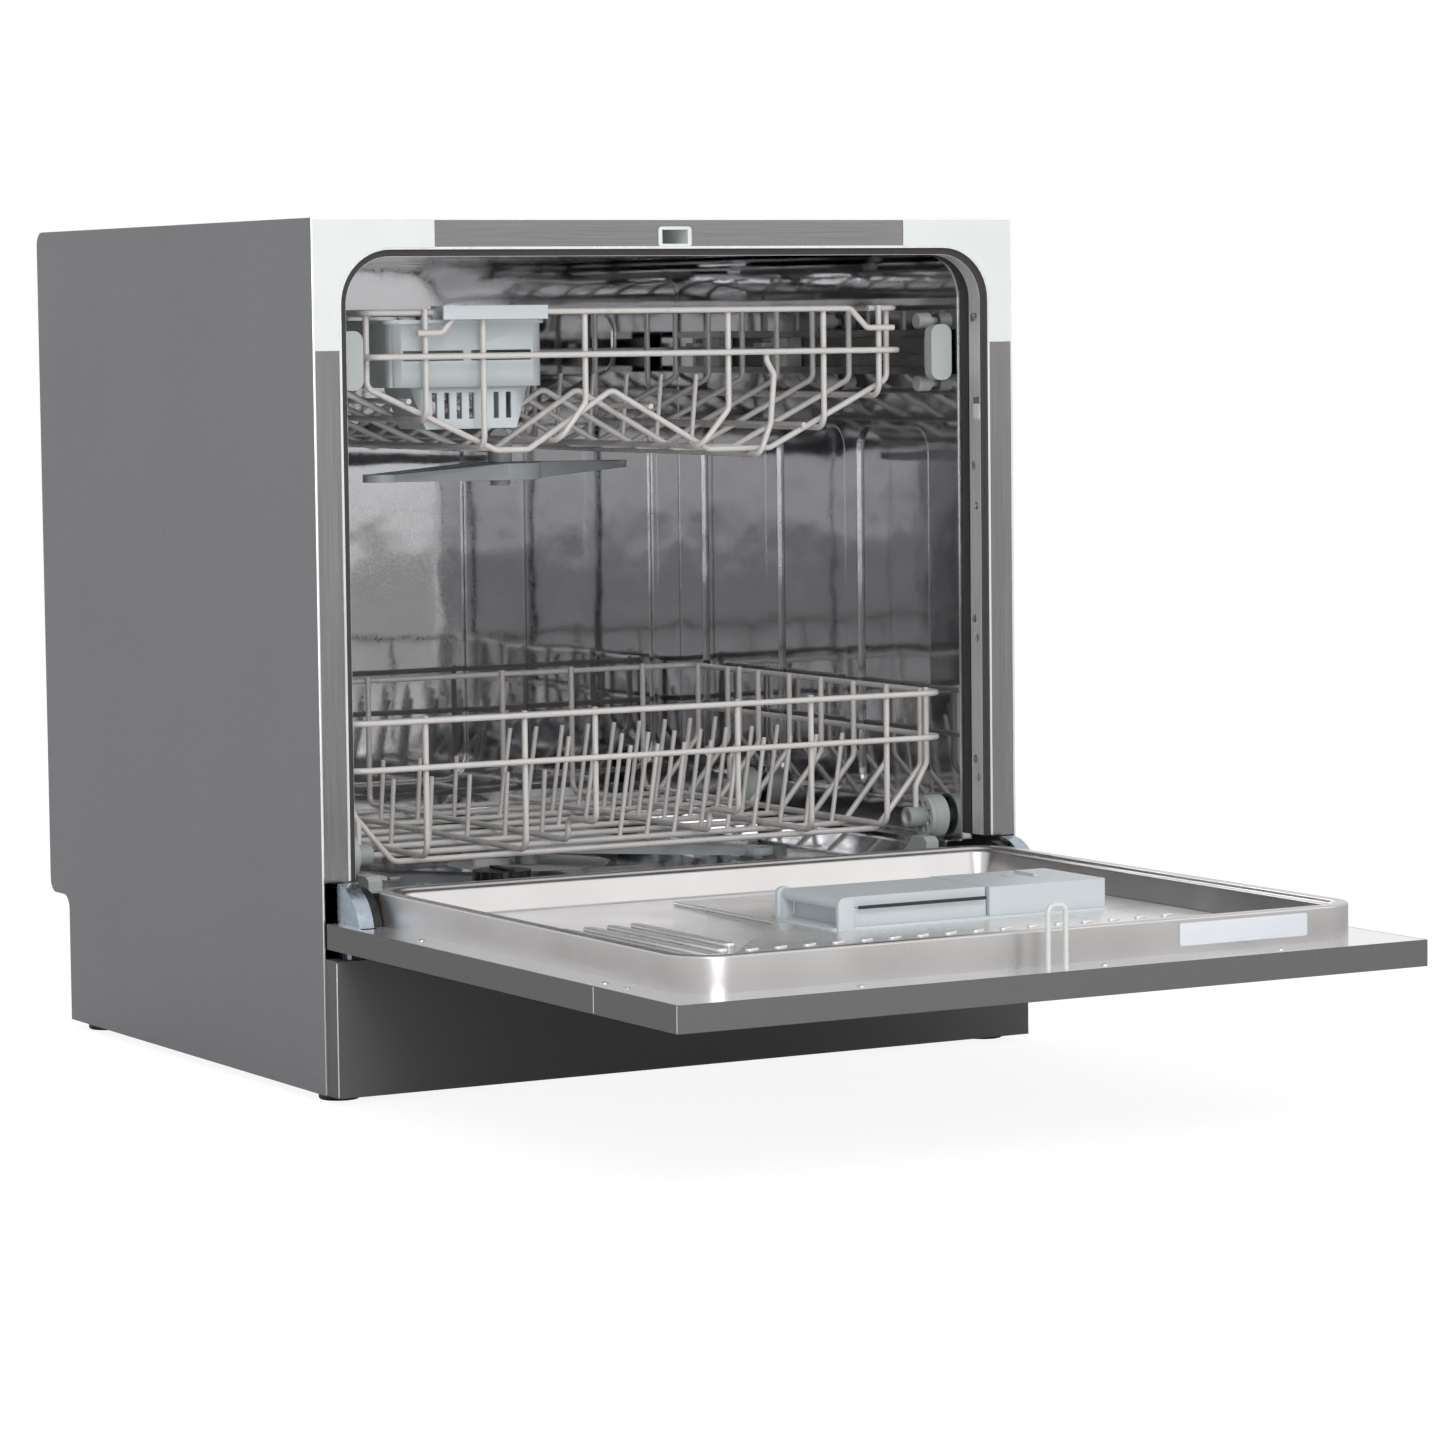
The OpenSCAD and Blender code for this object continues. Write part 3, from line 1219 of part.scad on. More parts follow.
side_panel_left();
side_panel_right();
top_panel();
rear_panel();
base_tray();
feet();
kickplate();
front_frame();
corner_covers();
latch_housing();
tub_walls();
tub_rear();
tub_floor();
door_gasket();
gasket_clips();
rail_rollers();
basket_stops();
sump();
filter_plate();
salt_container();
wash_pump();
drain_pump();
heater();
inlet_valve();
water_tank();
feed_pipe();
hinge_brackets();
cable_gland();
door_panel();
control_fascia();
door_liner();
hinge_arms();
hinge_caps();
door_striker();
dispenser_body();
display_window();
control_board();
latch_catch();
dispenser_lid();
rinse_aid_cap();
button_power();
button_program();
button_delay();
button_start();
rail_channels();
rail_caps();
upper_basket_frame();
upper_basket_floor();
rack_sliders();
cutlery_basket();
lower_basket_frame();
lower_basket_floor();
wheel_front_left();
wheel_front_right();
wheel_rear_left();
wheel_rear_right();
lower_spray_arm();
upper_spray_arm();
coarse_filter();
salt_cap();
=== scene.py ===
import math

import bmesh
import bpy
from bpy.props import FloatProperty, FloatVectorProperty, PointerProperty, StringProperty
from mathutils import Matrix, Vector


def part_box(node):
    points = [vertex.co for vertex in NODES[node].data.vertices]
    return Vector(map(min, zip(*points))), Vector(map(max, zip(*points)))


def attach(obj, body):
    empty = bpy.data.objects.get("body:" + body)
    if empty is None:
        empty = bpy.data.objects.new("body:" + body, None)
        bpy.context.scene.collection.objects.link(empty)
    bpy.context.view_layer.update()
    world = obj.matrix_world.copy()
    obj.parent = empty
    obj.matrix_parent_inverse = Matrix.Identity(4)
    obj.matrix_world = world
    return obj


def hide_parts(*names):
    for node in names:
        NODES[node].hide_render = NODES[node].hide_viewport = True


bl_info = {
    "name": "Compact dishwasher",
    "version": (1, 0, 0),
    "blender": (4, 5, 0),
    "location": "View3D > Sidebar > Dishwasher",
    "description": "Finishes and fittings for a compact dishwasher with a drop-down door",
    "category": "Object",
}

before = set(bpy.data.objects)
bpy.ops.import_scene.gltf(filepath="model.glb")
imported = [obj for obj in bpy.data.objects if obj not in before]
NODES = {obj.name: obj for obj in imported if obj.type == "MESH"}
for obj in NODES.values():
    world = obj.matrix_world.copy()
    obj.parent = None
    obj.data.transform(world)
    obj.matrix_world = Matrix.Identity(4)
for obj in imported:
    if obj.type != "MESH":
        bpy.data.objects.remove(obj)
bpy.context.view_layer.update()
MM = 0.001

WHEELS = ("wheel_front_left", "wheel_front_right", "wheel_rear_left", "wheel_rear_right")

RIM_HEIGHT = 22.5 * MM      # the door's flange lies this far below the top of its rim
RIM_HALF = 0.2485           # half the width over the rim
RIM_SETBACK = 0.029         # from the door's front edge to the rim
OPENING_FOOT = 0.1485       # where the seal's channel and the lip start
HEAD_HEIGHT = 0.62          # a screw head's height, in radii


# ---- colours and nodes -----------------------------------------------------------------

def hex_linear(code):
    """Turns an sRGB hex colour into the linear values that shaders take."""
    parts = [int(code[i:i + 2], 16) / 255 for i in (1, 3, 5)]
    linear = [v / 12.92 if v <= 0.04045 else ((v + 0.055) / 1.055) ** 2.4 for v in parts]
    return (*linear, 1.0)


def add_node(material, kind, links=(), **settings):
    """Adds one node; settings are sockets or attributes, links are (socket, source, output)."""
    tree = material.node_tree
    node = tree.nodes.new(kind)
    for name, value in settings.items():
        socket = name.replace("_", " ")
        if socket in node.inputs:
            node.inputs[socket].default_value = value
        elif hasattr(node, name):
            setattr(node, name, value)
        else:
            raise KeyError(f"{kind} has no {name}")
    for socket, source, output in links:
        tree.links.new(source.outputs[output], node.inputs[socket])
    return node


def empty_nodes(block):
    """Clears the nodes of a new material or world."""
    block.use_nodes = True
    block.node_tree.nodes.clear()
    return block


def new_material(name, **shader):
    """A material with one Principled shader whose own sockets hold its constants."""
    material = empty_nodes(bpy.data.materials.new(name))
    surface = add_node(material, "ShaderNodeBsdfPrincipled")
    for socket, value in shader.items():
        surface.inputs[socket.replace("_", " ")].default_value = value
    add_node(material, "ShaderNodeOutputMaterial", [("Surface", surface, "BSDF")])
    return material, surface


def link(material, source, output, node, socket):
    """Joins an output of one node to a socket of another."""
    material.node_tree.links.new(source.outputs[output], node.inputs[socket])


def coordinates(material, scale=(1, 1, 1)):
    """Object coordinates in millimetres, stretched by scale."""
    place = add_node(material, "ShaderNodeTexCoord")
    return add_node(material, "ShaderNodeMapping", [("Vector", place, "Object")],
                    Scale=tuple(1000 * s for s in scale))


def noise(material, at, size, detail):
    """Noise with cells of about this size, in the units of its coordinates."""
    return add_node(material, "ShaderNodeTexNoise", [("Vector", at, "Vector")],
                    Scale=1.0 / size, Detail=detail)


def tint(base, factor, lift=0.0):
    """A lighter or darker shade of a colour."""
    return tuple(min(1.0, c * factor + lift) for c in base[:3]) + (1.0,)


def mix_colours(material, factor, output, low, high, start=0.0, end=1.0):
    """Runs between two colours as the factor goes from start to end."""
    ramp = add_node(material, "ShaderNodeValToRGB", [("Fac", factor, output)])
    for i, (shade, place) in enumerate(((low, start), (high, end))):
        ramp.color_ramp.elements[i].color = shade
        ramp.color_ramp.elements[i].position = place
    return ramp


def set_colour(material, surface, factor, output, low, high, start=0.0, end=1.0):
    """Gives the surface a run between two colours."""
    tone = mix_colours(material, factor, output, low, high, start, end)
    link(material, tone, "Color", surface, "Base Color")


def set_roughness(material, surface, factor, output, low, high):
    """Spreads the middle of a noise over a range of roughness."""
    shine = add_node(material, "ShaderNodeMapRange", [("Value", factor, output)],
                     From_Min=0.3, From_Max=0.7, To_Min=low, To_Max=high)
    link(material, shine, "Result", surface, "Roughness")


def bump(material, height, output, strength, distance, under=None):
    """Turns a height into a normal, over the normal of the node under it."""
    links = [("Height", height, output)] + ([("Normal", under, "Normal")] if under else [])
    return add_node(material, "ShaderNodeBump", links, Strength=strength, Distance=distance)


def broken_edge(material, millimetres):
    """The small radius that a tool or a press leaves on an edge, which catches the light."""
    return add_node(material, "ShaderNodeBevel", samples=4, Radius=millimetres * MM)


# ---- finishes --------------------------------------------------------------------------

def powder_coat(name, base):
    """Polyester powder coat baked on steel: a fine orange peel breaks up its dull sheen."""
    material, surface = new_material(name, Roughness=0.5, Specular_IOR_Level=0.45)
    at = coordinates(material)
    speck = noise(material, at, 0.9, 3.0)
    cloud = noise(material, at, 140.0, 2.0)
    set_colour(material, surface, speck, "Fac", tint(base, 0.86), tint(base, 1.14), 0.25, 0.75)
    set_roughness(material, surface, cloud, "Fac", 0.48, 0.53)
    peel = bump(material, speck, "Fac", 0.16, 0.00012, broken_edge(material, 0.6))
    link(material, peel, "Normal", surface, "Normal")
    return material


def brushed_stainless(name, base, direction, rough=(0.2, 0.36), metallic=1.0, level=9.0):
    """Stainless strip brushed along its length: long hairlines spread the light sideways.
    Above the level, in metres, the hairlines run across, as on the strip over the opening."""
    material, surface = new_material(name, Metallic=metallic, Roughness=0.28)
    across = 0
    along = []
    for way in (direction, across):
        for fine, wide in ((0.012, 1.4), (0.004, 0.06)):
            stretch = tuple(fine if i == way else wide for i in range(3))
            along.append(noise(material, coordinates(material, stretch), 1.0, 3.0))
    at = add_node(material, "ShaderNodeTexCoord")
    place = add_node(material, "ShaderNodeSeparateXYZ", [("Vector", at, "Object")])
    high = add_node(material, "ShaderNodeMath", [(0, place, "Z")], operation="GREATER_THAN")
    high.inputs[1].default_value = level
    hair, band = (add_node(material, "ShaderNodeMix", [("Factor", high, "Value"),
                                                       (2, along[i], "Fac"),
                                                       (3, along[i + 2], "Fac")]) for i in (0, 1))
    set_colour(material, surface, hair, "Result", tint(base, 0.84), tint(base, 1.1), 0.3, 0.7)
    set_roughness(material, surface, band, "Result", *rough)
    link(material, bump(material, hair, "Result", 0.22, 0.00008), "Normal", surface, "Normal")
    return material


def rolled_stainless(name, base, rough, wave, radius=2.5, metallic=1.0, pebble=0.05):
    """Bright annealed stainless sheet: near mirror, with slow waves left by the deep drawing."""
    material, surface = new_material(name, Metallic=metallic, Roughness=0.2)
    at = coordinates(material)
    slow = noise(material, at, 55.0, 1.5)
    grain = noise(material, at, 1.6, 3.0)
    set_colour(material, surface, slow, "Fac", tint(base, 0.9), base)
    set_roughness(material, surface, grain if pebble else slow, "Fac", *rough)
    edge = broken_edge(material, radius) if radius else None
    swell = bump(material, slow, "Fac", wave, 0.002, edge)
    if pebble:
        swell = bump(material, grain, "Fac", pebble, 0.0001, swell)
    link(material, swell, "Normal", surface, "Normal")
    return material


def moulded_plastic(name, base, rough=(0.34, 0.46), grain=1.2, height=0.1):
    """Injection-moulded polypropylene: a soft even sheen over a faint spark-eroded grain."""
    material, surface = new_material(name, Roughness=0.4, IOR=1.49)
    at = coordinates(material)
    texture = noise(material, at, grain, 2.0)
    flow = noise(material, at, 45.0, 2.0)
    set_colour(material, surface, flow, "Fac", tint(base, 0.93), tint(base, 1.05))
    set_roughness(material, surface, texture, "Fac", *rough)
    skin = bump(material, texture, "Fac", height, 0.0001, broken_edge(material, 0.7))
    link(material, skin, "Normal", surface, "Normal")
    return material


def coated_wire(name, base):
    """Steel wire dipped in nylon: a thick satin coat with slight sags and a soft highlight."""
    material, surface = new_material(name, Roughness=0.32, IOR=1.53, Coat_Weight=0.35,
                                     Coat_Roughness=0.18)
    sag = noise(material, coordinates(material), 9.0, 2.0)
    set_colour(material, surface, sag, "Fac", tint(base, 0.88), base)
    set_roughness(material, surface, sag, "Fac", 0.26, 0.4)
    link(material, bump(material, sag, "Fac", 0.12, 0.0003), "Normal", surface, "Normal")
    return material


def moulded_rubber(name, base):
    """Extruded EPDM seal: near black, dull, with a dusty bloom."""
    material, surface = new_material(name, Roughness=0.62, Specular_IOR_Level=0.35)
    bloom = noise(material, coordinates(material), 6.0, 4.0)
    set_colour(material, surface, bloom, "Fac", base, tint(base, 1.9, 0.004))
    set_roughness(material, surface, bloom, "Fac", 0.52, 0.72)
    skin = bump(material, bloom, "Fac", 0.1, 0.0002, broken_edge(material, 1.0))
    link(material, skin, "Normal", surface, "Normal")
    return material


def zinc_plate(name, base):
    """Bright zinc over pressed steel: blue-white spangles with a soft mirror."""
    material, surface = new_material(name, Metallic=1.0, Roughness=0.28)
    at = coordinates(material)
    spangle = add_node(material, "ShaderNodeTexVoronoi", [("Vector", at, "Vector")],
                       Scale=1.0 / 5.0)
    haze = noise(material, at, 3.0, 3.0)
    set_colour(material, surface, spangle, "Distance", tint(base, 0.8), base)
    set_roughness(material, surface, haze, "Fac", 0.2, 0.4)
    return material


def printed_board(name, base):
    """Glass-epoxy board under green solder mask, with darker tracks."""
    material, surface = new_material(name, Roughness=0.35)
    track = add_node(material, "ShaderNodeTexBrick", [("Vector", coordinates(material), "Vector")],
                     Scale=1.0 / 8.0, Color1=base, Color2=tint(base, 1.3), Mortar=tint(base, 0.5))
    link(material, track, "Color", surface, "Base Color")
    return material


def smoked_glass(name, base):
    """Smoked acrylic window: deep black with a hard gloss and fine wipe marks."""
    material, surface = new_material(name, Roughness=0.08, IOR=1.49)
    wipe = noise(material, coordinates(material), 20.0, 3.0)
    set_colour(material, surface, wipe, "Fac", base, tint(base, 1.5))
    set_roughness(material, surface, wipe, "Fac", 0.05, 0.14)
    return material


# ---- settings --------------------------------------------------------------------------

class DishwasherColours(bpy.types.PropertyGroup):
    """Finish colours, as sRGB hex codes"""
    side_paint: StringProperty(name="Side panels", default="#828286",
                               description="Powder coat of the cabinet")
    door_paint: StringProperty(name="Door and plinth", default="#616162",
                               description="Powder coat of the door")
    strip_steel: StringProperty(name="Front frame", default="#8C8B8B",
                                description="Brushed strips round the opening")
    tub_steel: StringProperty(name="Tub", default="#BDBDBF",
                              description="Bright stainless of the tub")
    liner_steel: StringProperty(name="Door liner", default="#C2C0BF",
                                description="Satin stainless of the inner door")
    cover_plastic: StringProperty(name="Corner covers", default="#E7ECEB",
                                  description="Pale plastic on the frame")
    rack_wire: StringProperty(name="Basket wire", default="#D8D4D1",
                              description="Nylon coat of the baskets")
    rack_plastic: StringProperty(name="Rack fittings", default="#B4B9B8",
                                 description="Wheels, caps and runners")
    cutlery_plastic: StringProperty(name="Cutlery box", default="#CCD3D6",
                                    description="Pale blue-grey plastic")
    dispenser_plastic: StringProperty(name="Dispenser", default="#CCD3D7",
                                      description="Blue-grey plastic")
    arm_plastic: StringProperty(name="Spray arms", default="#A9AFB3",
                                description="Mid-grey plastic")


class DishwasherSizes(bpy.types.PropertyGroup):
    """Sizes of the fittings, in metres"""
    rim_round: FloatProperty(name="Rim rounding", description="Rounding along the liner's rim",
                             default=0.0035, unit="LENGTH", min=0.001, max=0.006)
    screw_radius: FloatProperty(name="Screw head", description="Radius of a screw head",
                                default=0.0032, unit="LENGTH", min=0.001, max=0.005)
    label_width: FloatProperty(name="Label width", description="Width of the bare rating plate",
                               default=0.098, unit="LENGTH", min=0.02, max=0.15)
    label_height: FloatProperty(name="Label height", description="Height of the bare rating plate",
                                default=0.0145, unit="LENGTH", min=0.005, max=0.016)


class DishwasherStage(bpy.types.PropertyGroup):
    """Camera and light"""
    camera_at: FloatVectorProperty(name="Camera", description="Where the camera stands", size=3,
                                   default=(-1.6743, -3.0121, 0.5191), subtype="TRANSLATION")
    pitch: FloatProperty(name="Pitch", description="Tilt of the camera",
                         default=math.radians(-4.60), subtype="ANGLE")
    roll: FloatProperty(name="Roll", description="Roll of the camera", default=math.radians(0.65),
                        subtype="ANGLE")
    yaw: FloatProperty(name="Yaw", description="Turn of the camera", default=math.radians(-29.55),
                       subtype="ANGLE")
    lens: FloatProperty(name="Lens", description="Focal length on a 36 mm sensor, in millimetres",
                        default=124.4, min=20, max=300)


# ---- helpers ---------------------------------------------------------------------------

def colour(name):
    """One of the panel's colours, ready for a shader."""
    return hex_linear(getattr(bpy.context.scene.dishwasher_colours, name))


def finish_nodes(material, *names):
    """Gives CAD nodes a finish, through their own material slots."""
    for name in names:
        slots = NODES[name].data.materials
        if not slots:
            slots.append(material)
        for i in range(len(slots)):
            slots[i] = material


def clear_selection():
    """Leaves edit mode and deselects everything."""
    if bpy.context.object and bpy.context.object.mode != "OBJECT":
        bpy.ops.object.mode_set(mode="OBJECT")
    bpy.ops.object.select_all(action="DESELECT")


def pick(*pieces):
    """Selects just these pieces, the first one active."""
    clear_selection()
    for piece in pieces:
        piece.select_set(True)
    bpy.context.view_layer.objects.active = pieces[0]


def name_new(name):
    """Names the object that an operator has just made."""
    piece = bpy.context.object
    piece.name = name
    piece.data.name = name
    return piece


def settle(piece, material=None, angle=40):
    """Applies modifiers and transforms, so that the mesh holds the place, and gives a finish."""
    pick(piece)
    for modifier in list(piece.modifiers):
        bpy.ops.object.modifier_apply(modifier=modifier.name)
    bpy.ops.object.transform_apply(location=True, rotation=True, scale=True)
    bpy.ops.object.shade_smooth_by_angle(angle=math.radians(angle))
    if material:
        piece.data.materials.clear()
        piece.data.materials.append(material)
    clear_selection()
    return piece


def edit_select(piece, kind, wanted):
    """Selects in edit mode the faces, edges or vertices for which wanted(...) is true."""
    mesh = bmesh.from_edit_mesh(piece.data)
    parts = {"VERT": mesh.verts, "EDGE": mesh.edges, "FACE": mesh.faces}
    for items in parts.values():
        for item in items:
            item.select = False
    bpy.context.tool_settings.mesh_select_mode = [kind == each for each in parts]
    mesh.select_mode = {kind}
    chosen = [item for item in parts[kind] if wanted(item)]
    if not chosen:
        raise RuntimeError(f"nothing selected on {piece.name}")
    for item in chosen:
        item.select_set(True)
    mesh.select_flush_mode()
    bmesh.update_edit_mesh(piece.data)


def edge_along(axis, shortest):
    """A test for edges that run at least this far along an axis, named x, y or z."""
    return lambda e: abs(getattr(e.verts[0].co, axis) - getattr(e.verts[1].co, axis)) > shortest


def round_corners(piece, axis, shortest, radius, segments):
    """Bevels the edges that run along one axis."""
    edit_select(piece, "EDGE", edge_along(axis, shortest))
    bpy.ops.mesh.bevel(offset=radius, segments=segments, affect="EDGES")


def soften(piece, width, segments, angle=30):
    """A bevel modifier over every edge sharper than the angle."""
    soft = piece.modifiers.new("soft", "BEVEL")
    soft.width = width
    soft.segments = segments
    soft.limit_method = "ANGLE"
    soft.angle_limit = math.radians(angle)


def thicken(piece, wall):
    """A solidify modifier that gives a surface the thickness of its sheet, inwards."""
    sheet = piece.modifiers.new("sheet", "SOLIDIFY")
    sheet.thickness = wall
    sheet.offset = -1


def box_piece(name, low, high):
    """A cube primitive stretched over a box, left active in edit mode."""
    clear_selection()
    centre = [(a + b) / 2 for a, b in zip(low, high)]
    bpy.ops.mesh.primitive_cube_add(size=1, location=centre)
    piece = name_new(name)
    piece.scale = [b - a for a, b in zip(low, high)]
    bpy.ops.object.transform_apply(location=True, rotation=True, scale=True)
    bpy.ops.object.mode_set(mode="EDIT")
    return piece


def leave_edit():
    bpy.ops.object.mode_set(mode="OBJECT")


def fresh_copy(piece, name, shift):
    """A copy with a mesh of its own, shifted in that mesh."""
    twin = piece.copy()
    twin.data = piece.data.copy()
    twin.name = twin.data.name = name
    bpy.context.scene.collection.objects.link(twin)
    twin.data.transform(Matrix.Translation(shift))
    return twin


def merged_copy(node, name):
    """A copy of a CAD node with its points merged, left active in edit mode."""
    shell = fresh_copy(NODES[node], name, (0, 0, 0))
    pick(shell)
    bpy.ops.object.mode_set(mode="EDIT")
    bpy.ops.mesh.select_all(action="SELECT")
    bpy.ops.mesh.remove_doubles(threshold=0.01 * MM)
    return shell


def finish_joined(name, pieces, body, material, angle=35):
    """Joins the pieces, attaches them to the body that carries them and gives them the material."""
    pick(*pieces)
    if len(pieces) > 1:
        bpy.ops.object.join()
    whole = name_new(name)
    settle(whole, material, angle)
    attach(whole, body)
    return whole


# ---- finishes for the cabinet ----------------------------------------------------------

class DISHWASHER_OT_finish_cabinet(bpy.types.Operator):
    """Gives every panel, tub part and fitting its finish"""
    bl_idname = "dishwasher.finish_cabinet"
    bl_label = "Finish the cabinet and door"

    def execute(self, context):
        sides = powder_coat("side_powder_coat", colour("side_paint"))
        door = powder_coat("door_powder_coat", colour("door_paint"))
        finish_nodes(sides, "side_panel_left", "side_panel_right", "top_panel")
        finish_nodes(door, "kickplate", "door_panel", "control_fascia")
        finish_nodes(brushed_stainless("frame_brushed_stainless", colour("strip_steel"), 2,
                                       level=0.5705),
                     "front_frame")
        finish_nodes(rolled_stainless("tub_bright_stainless", colour("tub_steel"),
                                      (0.03, 0.09), 0.16, pebble=0.01),
                     "tub_walls", "tub_rear", "tub_floor")
        finish_nodes(rolled_stainless("liner_satin_stainless", colour("liner_steel"),
                                      (0.26, 0.4), 0.15),
                     "door_liner")
        finish_nodes(brushed_stainless("rail_stainless", colour("strip_steel"), 1), "rail_channels")
        finish_nodes(moulded_plastic("cover_polypropylene", colour("cover_plastic")),
                     "corner_covers", "latch_housing", "latch_catch")
        finish_nodes(moulded_plastic("fitting_acetal", colour("rack_plastic")),
                     "rail_rollers", "basket_stops", "rail_caps", "rack_sliders", *WHEELS)
        finish_nodes(moulded_plastic("cutlery_polypropylene", colour("cutlery_plastic")),
                     "cutlery_basket")
        finish_nodes(moulded_plastic("dispenser_polypropylene", colour("dispenser_plastic")),
                     "dispenser_body", "dispenser_lid", "rinse_aid_cap")
        finish_nodes(moulded_plastic("arm_polypropylene", colour("arm_plastic")),
                     "lower_spray_arm", "upper_spray_arm", "feed_pipe")
        finish_nodes(coated_wire("basket_nylon_wire", colour("rack_wire")),
                     "upper_basket_frame", "upper_basket_floor",
                     "lower_basket_frame", "lower_basket_floor")
        finish_nodes(coated_wire("striker_white_wire", hex_linear("#DEDEDD")), "door_striker")
        finish_nodes(moulded_rubber("seal_epdm_rubber", hex_linear("#2E2C2F")), "door_gasket")
        finish_nodes(zinc_plate("hinge_zinc_plate", hex_linear("#AEBAC6")),
                     "hinge_arms", "hinge_brackets")
        finish_nodes(zinc_plate("clip_nickel_plate", hex_linear("#C4C6C8")), "gasket_clips")
        black = moulded_plastic("black_abs", hex_linear("#1B1B1D"))
        finish_nodes(black, "hinge_caps", "salt_cap", "cable_gland", "feet")
        finish_nodes(moulded_plastic("motor_grey_nylon", hex_linear("#4A4C50")),
                     "sump", "wash_pump", "drain_pump", "base_tray")
        finish_nodes(moulded_plastic("filter_polypropylene", hex_linear("#C9CCCD")),
                     "filter_plate", "coarse_filter")
        finish_nodes(moulded_plastic("tank_polypropylene", hex_linear("#E6E8E8")),
                     "salt_container", "water_tank", "inlet_valve")
        finish_nodes(zinc_plate("galvanised_sheet", hex_linear("#A4A8AB")), "rear_panel", "heater")
        finish_nodes(printed_board("green_solder_mask", hex_linear("#23563A")), "control_board")
        finish_nodes(smoked_glass("display_smoked_acrylic", hex_linear("#121214")),
                     "display_window")
        finish_nodes(moulded_plastic("button_satin_abs", hex_linear("#7E7E7D")),
                     "button_power", "button_program", "button_delay", "button_start")
        return {"FINISHED"}


# ---- door liner ------------------------------------------------------------------------

class DISHWASHER_OT_draw_liner(bpy.types.Operator):
    """Draws the stainless inner door: flange, rounded rim, stepped shelf and pan"""
    bl_idname = "dishwasher.draw_liner"
    bl_label = "Draw the door liner"

    def execute(self, context):
        sizes = context.scene.dishwasher_sizes
        low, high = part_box("door_liner")
        steel = rolled_stainless("rim_satin_stainless", colour("liner_steel"), (0.26, 0.38), 0.1,
                                 radius=0, pebble=0)
        sheet = 1.2 * MM
        foot = high.z - RIM_HEIGHT

        rim = box_piece("liner_rim", (-RIM_HALF, low.y + RIM_SETBACK, foot),
                        (RIM_HALF, high.y - 5 * MM, high.z))
        round_corners(rim, "z", 5 * MM, 30 * MM, 12)
        edit_select(rim, "FACE", lambda f: f.normal.z < -0.9)
        bpy.ops.mesh.delete(type="FACE")
        edit_select(rim, "FACE", lambda f: f.normal.z > 0.9)
        # the crown of the rim, the step down, the shelf, the slope to the pan
        for width, drop in ((8.5, 0), (1.5, -2.5), (5, 0), (4, -17.5)):
            bpy.ops.mesh.inset(thickness=width * MM, depth=drop * MM)
        leave_edit()
        soften(rim, sizes.rim_round, 4, 25)
        thicken(rim, sheet)
        settle(rim, steel, 30)

        flange = box_piece("liner_flange", (low.x, low.y, foot - sheet), (high.x, high.y, foot))
        round_corners(flange, "z", sheet / 2, 2 * MM, 3)
        leave_edit()
        settle(flange, steel, 30)
        liner = finish_joined("liner_sheet", [rim, flange], "door", steel, 30)
        # Painted reflection: the pan gets a lighter, less metallic copy of the liner's steel,
        # standing in for the light it reflects.
        pan = rolled_stainless("pan_painted_reflection_steel", hex_linear("#ECECEE"), (0.12, 0.2), 0.12,
                               radius=0, metallic=0.7, pebble=0)
        liner.data.materials.append(pan)
        # Faces of the pan's floor take the painted-reflection material.
        for face in liner.data.polygons:
            at = face.center
            face.material_index = int(at.z < foot + 4 * MM and face.normal.z > 0.7
                                      and abs(at.x) < RIM_HALF - 12.5 * MM and at.y > low.y + 0.04)
        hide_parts("door_liner")
        self.press_platform(high.z - 20 * MM)
        return {"FINISHED"}

    def press_platform(self, floor):
        """The raised platform round the dispenser, its row of dashes and the ribs beside it."""
        # Painted reflection: lighter and less metallic than the liner's steel, like the pan.
        satin = rolled_stainless("platform_painted_reflection_steel", hex_linear("#EAE9E8"), (0.24, 0.34),
                                 0.06, radius=0, metallic=0.65, pebble=0)
        back, front, left, right = -0.058, -0.345, -0.040, 0.222
        corner, flare = -0.195, 0.122       # the left side slants out from the corner to the front
        sunk = floor - 0.3 * MM
        platform = box_piece("pan_platform", (left, front, sunk), (right, back, floor + 2.2 * MM))
        bpy.ops.mesh.select_all(action="SELECT")
        bpy.ops.mesh.bisect(plane_co=(0, corner, 0), plane_no=(0, 1, 0))
        edit_select(platform, "EDGE",
                    lambda e: all(v.co.x < left + MM and v.co.y < front + MM for v in e.verts))
        bpy.ops.transform.translate(value=(-flare, 0, 0))
        leave_edit()
        pieces = [platform]

        first = box_piece("dash", (-5.5 * MM, -2.2 * MM, floor + 1.9 * MM),
                          (5.5 * MM, 2.2 * MM, floor + 3.7 * MM))
        round_corners(first, "z", MM, 2 * MM, 4)
        leave_edit()
        first.data.transform(Matrix.Rotation(math.radians(24), 4, "Z"))
        for i in range(16):
            pieces.append(fresh_copy(first, f"dash_{i}", (-0.127 + 0.021 * i, front + 0.028, 0)))
        bpy.data.objects.remove(first)

        for i in range(6):
            x = -0.208 + 0.0175 * i
            slant = front + (x + flare - left) * (corner - front) / flare
            rib = box_piece(f"rib_{i}", (x - 4 * MM, max(-0.402, slant + 0.014), sunk),
                            (x + 4 * MM, -0.15, floor + 2.4 * MM))
            round_corners(rib, "z", MM, 3.6 * MM, 6)
            leave_edit()
            pieces.append(rib)
        for piece in pieces:
            soften(piece, 1.3 * MM, 3)
            settle(piece, satin, 40)
        finish_joined("pan_platform", pieces, "door", satin, 40)
